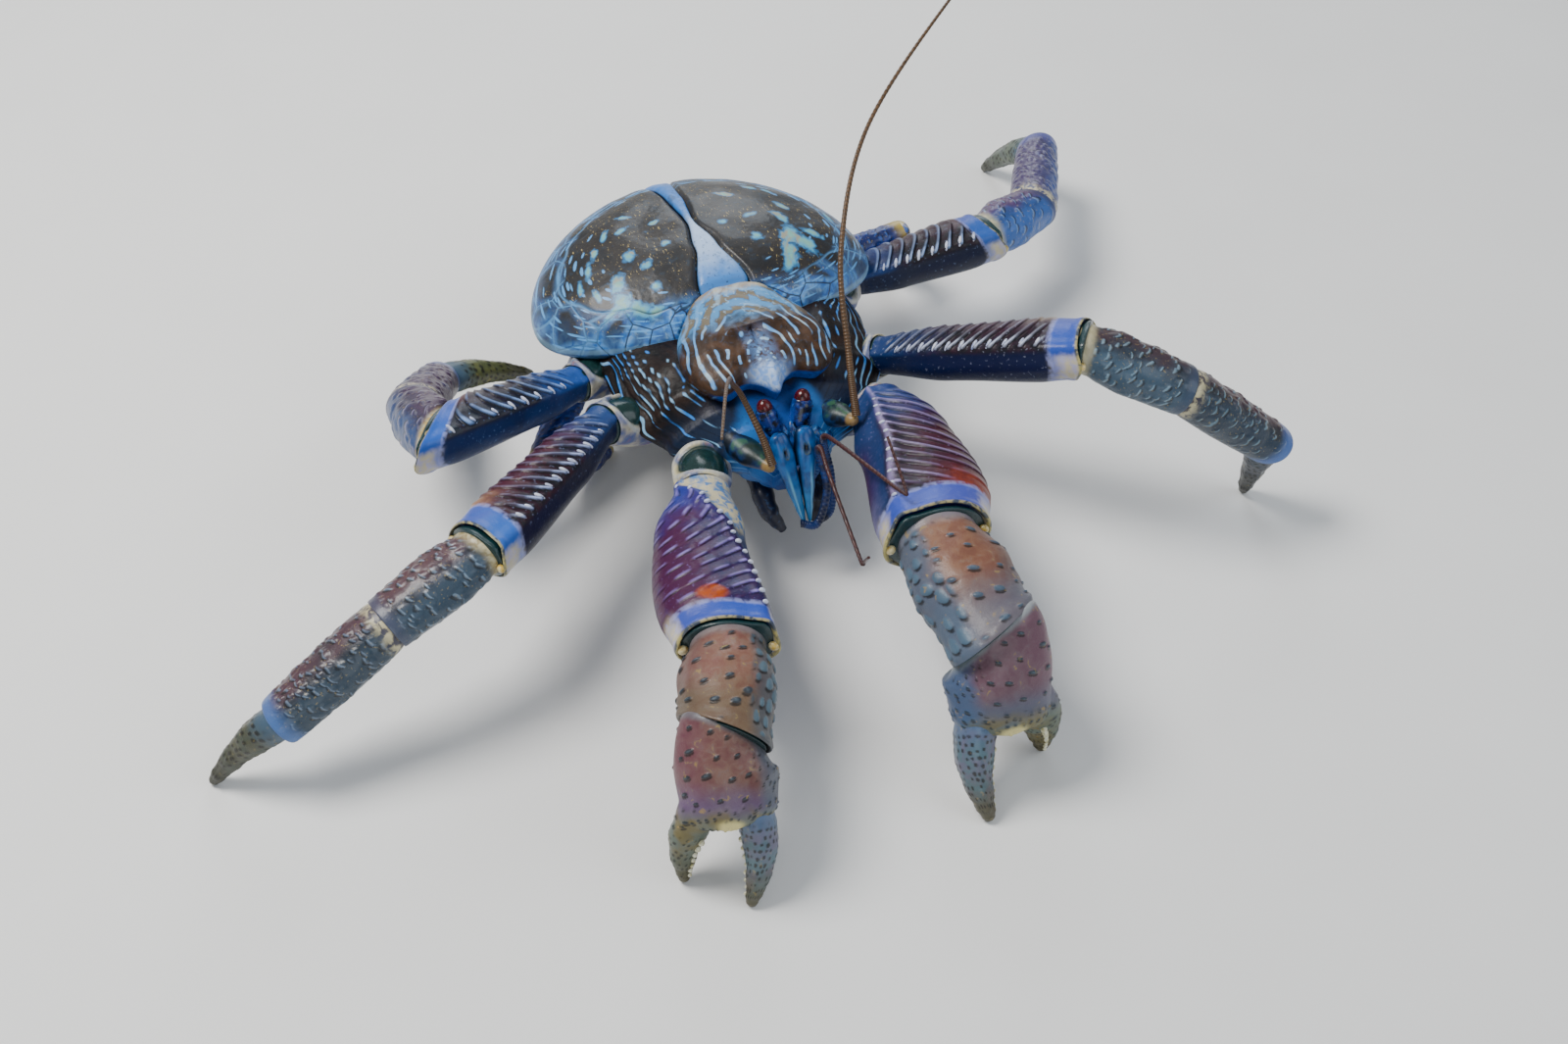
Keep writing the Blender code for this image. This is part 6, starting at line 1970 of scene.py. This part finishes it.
jaw_material = plain_paint("jaws", 4.0, 4.0, 0.4, 0.6, "0a142c", "14182c", (0.1, 0.35), 0.2, 0.1,
                           (1.5, 3.0, 0.58, 0.68, 0.5, "2c4c78"))


def feeler_material(name, dark, light, root, root_share):
    """Ringed feeler whose first part, up to root_share of its length, has another colour."""
    paint = Paint(name)
    rings = paint.mark("along").wave()
    cloud = paint.noise(6.0, 2.0)
    start = 1.0 - (paint.mark("above") + (cloud - 0.5) * 0.04).step(root_share - 0.03, root_share + 0.03)
    colour = paint.layers(
        paint.mix(cloud, dark, light),
        (rings.step(0.7, 0.95) * 0.6, paint.mix(0.5, dark, NIGHT)),
        (start, paint.mix(cloud.step(0.4, 0.6), root, "12306a")),
    )
    return paint.finish(colour, cloud * 0.1 + 0.35, rings, 0.08, 0.1)


print("paints:", len(bpy.data.materials))

# %% [markdown]
# ## Eyes and blades
#
# An eye is a short stalk with a glossy ball at its end, and small blue plates close the socket round
# it. A blade is a flat link with a dark pit, a pale rim and a ridge. All three come from how far a
# point lies from the middle of the pit or the ridge.

# %% Eyes and blades
def blade_relief(length):
    """A dark oval pit with a rim at the top, a near-black inner edge as painted shade of the slit between
    the blades, and a light ridge towards the outer one.
    """
    def relief(t, angle):
        across = sine(angle)
        far = math.hypot((t * length - 3.4) / 1.7, (across + 0.10) / 0.34)
        above = step(cosine(angle), 0.0, 0.3)
        pit = (1.0 - step(far, 0.85, 1.0)) * above
        rim = math.exp(-((far - 1.15) / 0.16) ** 2) * above
        keel = math.exp(-((across + 0.60) / 0.13) ** 2) * above * step(t, 0.25, 0.55)
        flat = 0.5 * math.exp(-(across / 0.5) ** 2) * above * (1.0 - t)
        marks = {"line": pit, "band": rim, "relief": keel, "face": step(across, 0.62, 0.90)}
        return 0.2 * rim - 0.7 * pit + 0.3 * keel - flat, marks
    return relief


FACE_PLATES = [
    # x, y, z, turn, rise, half sizes along, out and across
    (11.2, -67.5, 47.6, -75.0, -35.0, (4.6, 1.0, 2.2)),
    (9.6, -73.4, 44.2, -50.0, -40.0, (3.6, 1.0, 1.9)),
    (1.6, -72.0, 46.6, -95.0, -40.0, (3.4, 0.9, 1.4)),
    (12.6, -72.0, 42.6, -60.0, -30.0, (4.2, 1.0, 1.8)),
]

face_paint = Paint("face_plates")
face_cloud = face_paint.noise(3.0, 4.0, 0.8)
face_fine = face_paint.noise(0.9, 3.0)
face_colour = face_paint.layers(
    face_paint.mix(face_cloud.step(0.38, 0.62), "06245c", "1464ac"),
    (face_cloud.step(0.60, 0.70) * 0.7, "6cb0dc"),
    (face_fine.step(0.62, 0.70) * 0.5, "8c9468"),
)
face_paint.finish(face_colour, face_fine * 0.12 + 0.28, face_fine, 0.12, 0.15)

for side_name, side in SIDES.items():
    name = "eye_" + side_name
    stalk_points = [mm(4.6 * side + 0.8, -69.5, 47.0), mm(7.0 * side + 1.2, -65.5, 54.0)]
    stalk = Link(stalk_points, 0, side, [(0.0, 3.6, 3.8), (0.6, 3.6, 3.7), (0.8, 3.3, 3.4), (1.0, 2.4, 2.4)])
    skin(name, 40, 40, link_shape(stalk, smooth_link, tip=True), stalk_paint.material, [name])
    bm = bmesh.new()
    add_drop(bm, stalk.place(0.90, 0.0, 0.6), stalk.direction + stalk.up * 0.25, 2.7, 3.4, 32, 20)
    settle("cornea_" + side_name, bm, eye_paint.material)

    # Small plates close the socket round the stalk and the root of the blade
    bm = bmesh.new()
    for x, y, z, turn, rise, sizes in FACE_PLATES:
        along = heading(turn if side > 0 else 180.0 - turn, rise)
        out = cross_axes(along, 1.0)[1]
        add_ridge(bm, mm(x * side + 0.6, y, z), along, out + mm(0.3 * side, -0.4, 0.0) / MM, sizes, 24, 16)
    settle("face_plates_" + side_name, bm, face_paint.material)
    name = "antennule_base_" + side_name
    blade_points = [mm(4.2 * side, -76.5, 47.0), mm(1.1 * side, -89.0, 23.0)]
    blade = Link(blade_points, 0, side, [(0.0, 3.5, 2.8), (0.12, 3.8, 3.0), (0.55, 2.5, 2.2),
                                         (0.85, 1.5, 1.4), (1.0, 0.8, 0.8)])
    skin(name, 60, 100, link_shape(blade, blade_relief(blade.length), tip=True),
         blade_paint.material, [name])

print("pieces:", len(SKINS))

# %% [markdown]
# ## Feelers
#
# A feeler is a thin, finely ringed tube along a smooth curve through a few points. A curve object with
# a bevel would do for the form, but a wrapped grid also stores the mark that colours the rings. The
# two mouth parts under the head are made the same way.

# %% Feelers
ANTENNULE_ROUTES = {
    "right": [(-2.6, -90.3, 22.6), (2.5, -92.5, 23.0), (7.5, -88.0, 33.0), (6.6, -82.5, 44.0),
              (6.4, -85.5, 48.0), (5.0, -95.0, 46.5), (1.4, -127.0, 42.0), (0.8, -132.0, 42.5),
              (0.6, -133.5, 45.0), (-2.0, -142.0, 56.0)],
    "left": [(3.2, -90.3, 21.0), (8.6, -89.0, 24.0), (10.6, -84.0, 34.0), (9.8, -79.5, 44.0),
             (10.0, -80.5, 48.5), (10.4, -92.0, 54.0), (12.6, -115.0, 61.5), (14.0, -130.0, 66.5),
             (14.4, -131.0, 69.0), (14.4, -117.0, 78.0)],
}
ANTENNA_ROUTES = {
    "right": [(-10.2, -85.2, 47.0), (-12.0, -80.5, 56.0), (-15.5, -72.5, 67.5), (-21.0, -79.0, 80.0),
              (-28.0, -96.0, 98.0), (-38.0, -120.0, 116.0), (-49.0, -146.0, 124.0)],
    "left": [(20.9, -79.8, 52.8), (23.5, -67.0, 67.0), (30.5, -43.0, 91.0), (53.7, -9.4, 110.0),
             (101.7, 34.0, 120.0), (128.0, 57.0, 117.0)],
}
ANTENNA_ROOTS = {
    "right": [(-17.0, -66.0, 43.5), (-10.6, -84.0, 45.0)],
    "left": [(16.0, -64.0, 44.0), (20.6, -78.5, 50.0)],
}


FEELER_CAP = 0.01


def tube_shape(points, radii, ring_mm):
    """A round feeler along a smooth curve, finely ringed."""
    path = [mm(*p) for p in points]
    length = sum((b - a).length for a, b in zip(path, path[1:])) / MM

    def shape(u, v):
        s = min(max((v - FEELER_CAP) / (1.0 - 2.0 * FEELER_CAP), 0.0), 1.0)
        close = min(1.0, (min(v, 1.0 - v) / FEELER_CAP) ** 0.5)
        centre = curve_at(path, s)
        ahead = (curve_at(path, s + 0.004) - curve_at(path, s - 0.004)).normalized()
        across = ahead.cross(UP)
        if across.length < 0.1:
            across = ahead.cross(Vector((0.0, 1.0, 0.0)))
        across.normalize()
        lift = across.cross(ahead)
        radius = line(radii, s)[0] * (1.0 + 0.05 * math.sin(s * length / ring_mm * 2.0 * math.pi))
        a = 2.0 * math.pi * u
        return (centre + (across * math.cos(a) + lift * math.sin(a)) * (radius * close * MM),
                {"along": s * length / ring_mm, "above": s})
    return shape


antenna_material = feeler_material("antennae", "3c2a18", "6a4c2c", "3c2a18", -0.1)
antennule_material = feeler_material("antennules", "33191a", "522c26", "0c1638", 0.40)
for side_name, side in SIDES.items():
    name = "antennule_" + side_name
    radii = [(0.0, 1.3), (0.36, 1.3), (0.46, 0.75), (1.0, 0.45)]
    shape = tube_shape(ANTENNULE_ROUTES[side_name], radii, 1.3)
    skin(name, 14, 520, shape, antennule_material, [name])
    name = "antenna_" + side_name
    shape = tube_shape(ANTENNA_ROUTES[side_name], [(0.0, 1.4), (0.3, 0.95), (1.0, 0.4)], 1.4)
    skin(name, 14, 640, shape, antenna_material, [name])
    name = "antenna_base_" + side_name
    root_points = [mm(*p) for p in ANTENNA_ROOTS[side_name]]
    root = Link(root_points, 0, side, [(0.0, 4.6, 4.6), (0.45, 4.8, 4.0), (1.0, 2.0, 2.0)])
    skin(name, 48, 60, link_shape(root, smooth_link, tip=True), root_paint.material, [name])
    name = "maxilliped_" + side_name
    path = [(8.5 * side, -66.0, 27.0), (9.5 * side, -79.0, 21.5), (5.5 * side, -82.5, 13.5)]
    shape = tube_shape(path, [(0.0, 4.0), (0.5, 3.4), (1.0, 1.4)], 6.0)
    skin(name, 40, 60, shape, jaw_material, [name])
print("pieces:", len(SKINS))

# %% [markdown]
# ## Finish
#
# The number of faces in all the pieces is printed.

# %% Faces and finish
print("faces:", sum(SKINS.values()), "in", len(SKINS), "pieces")
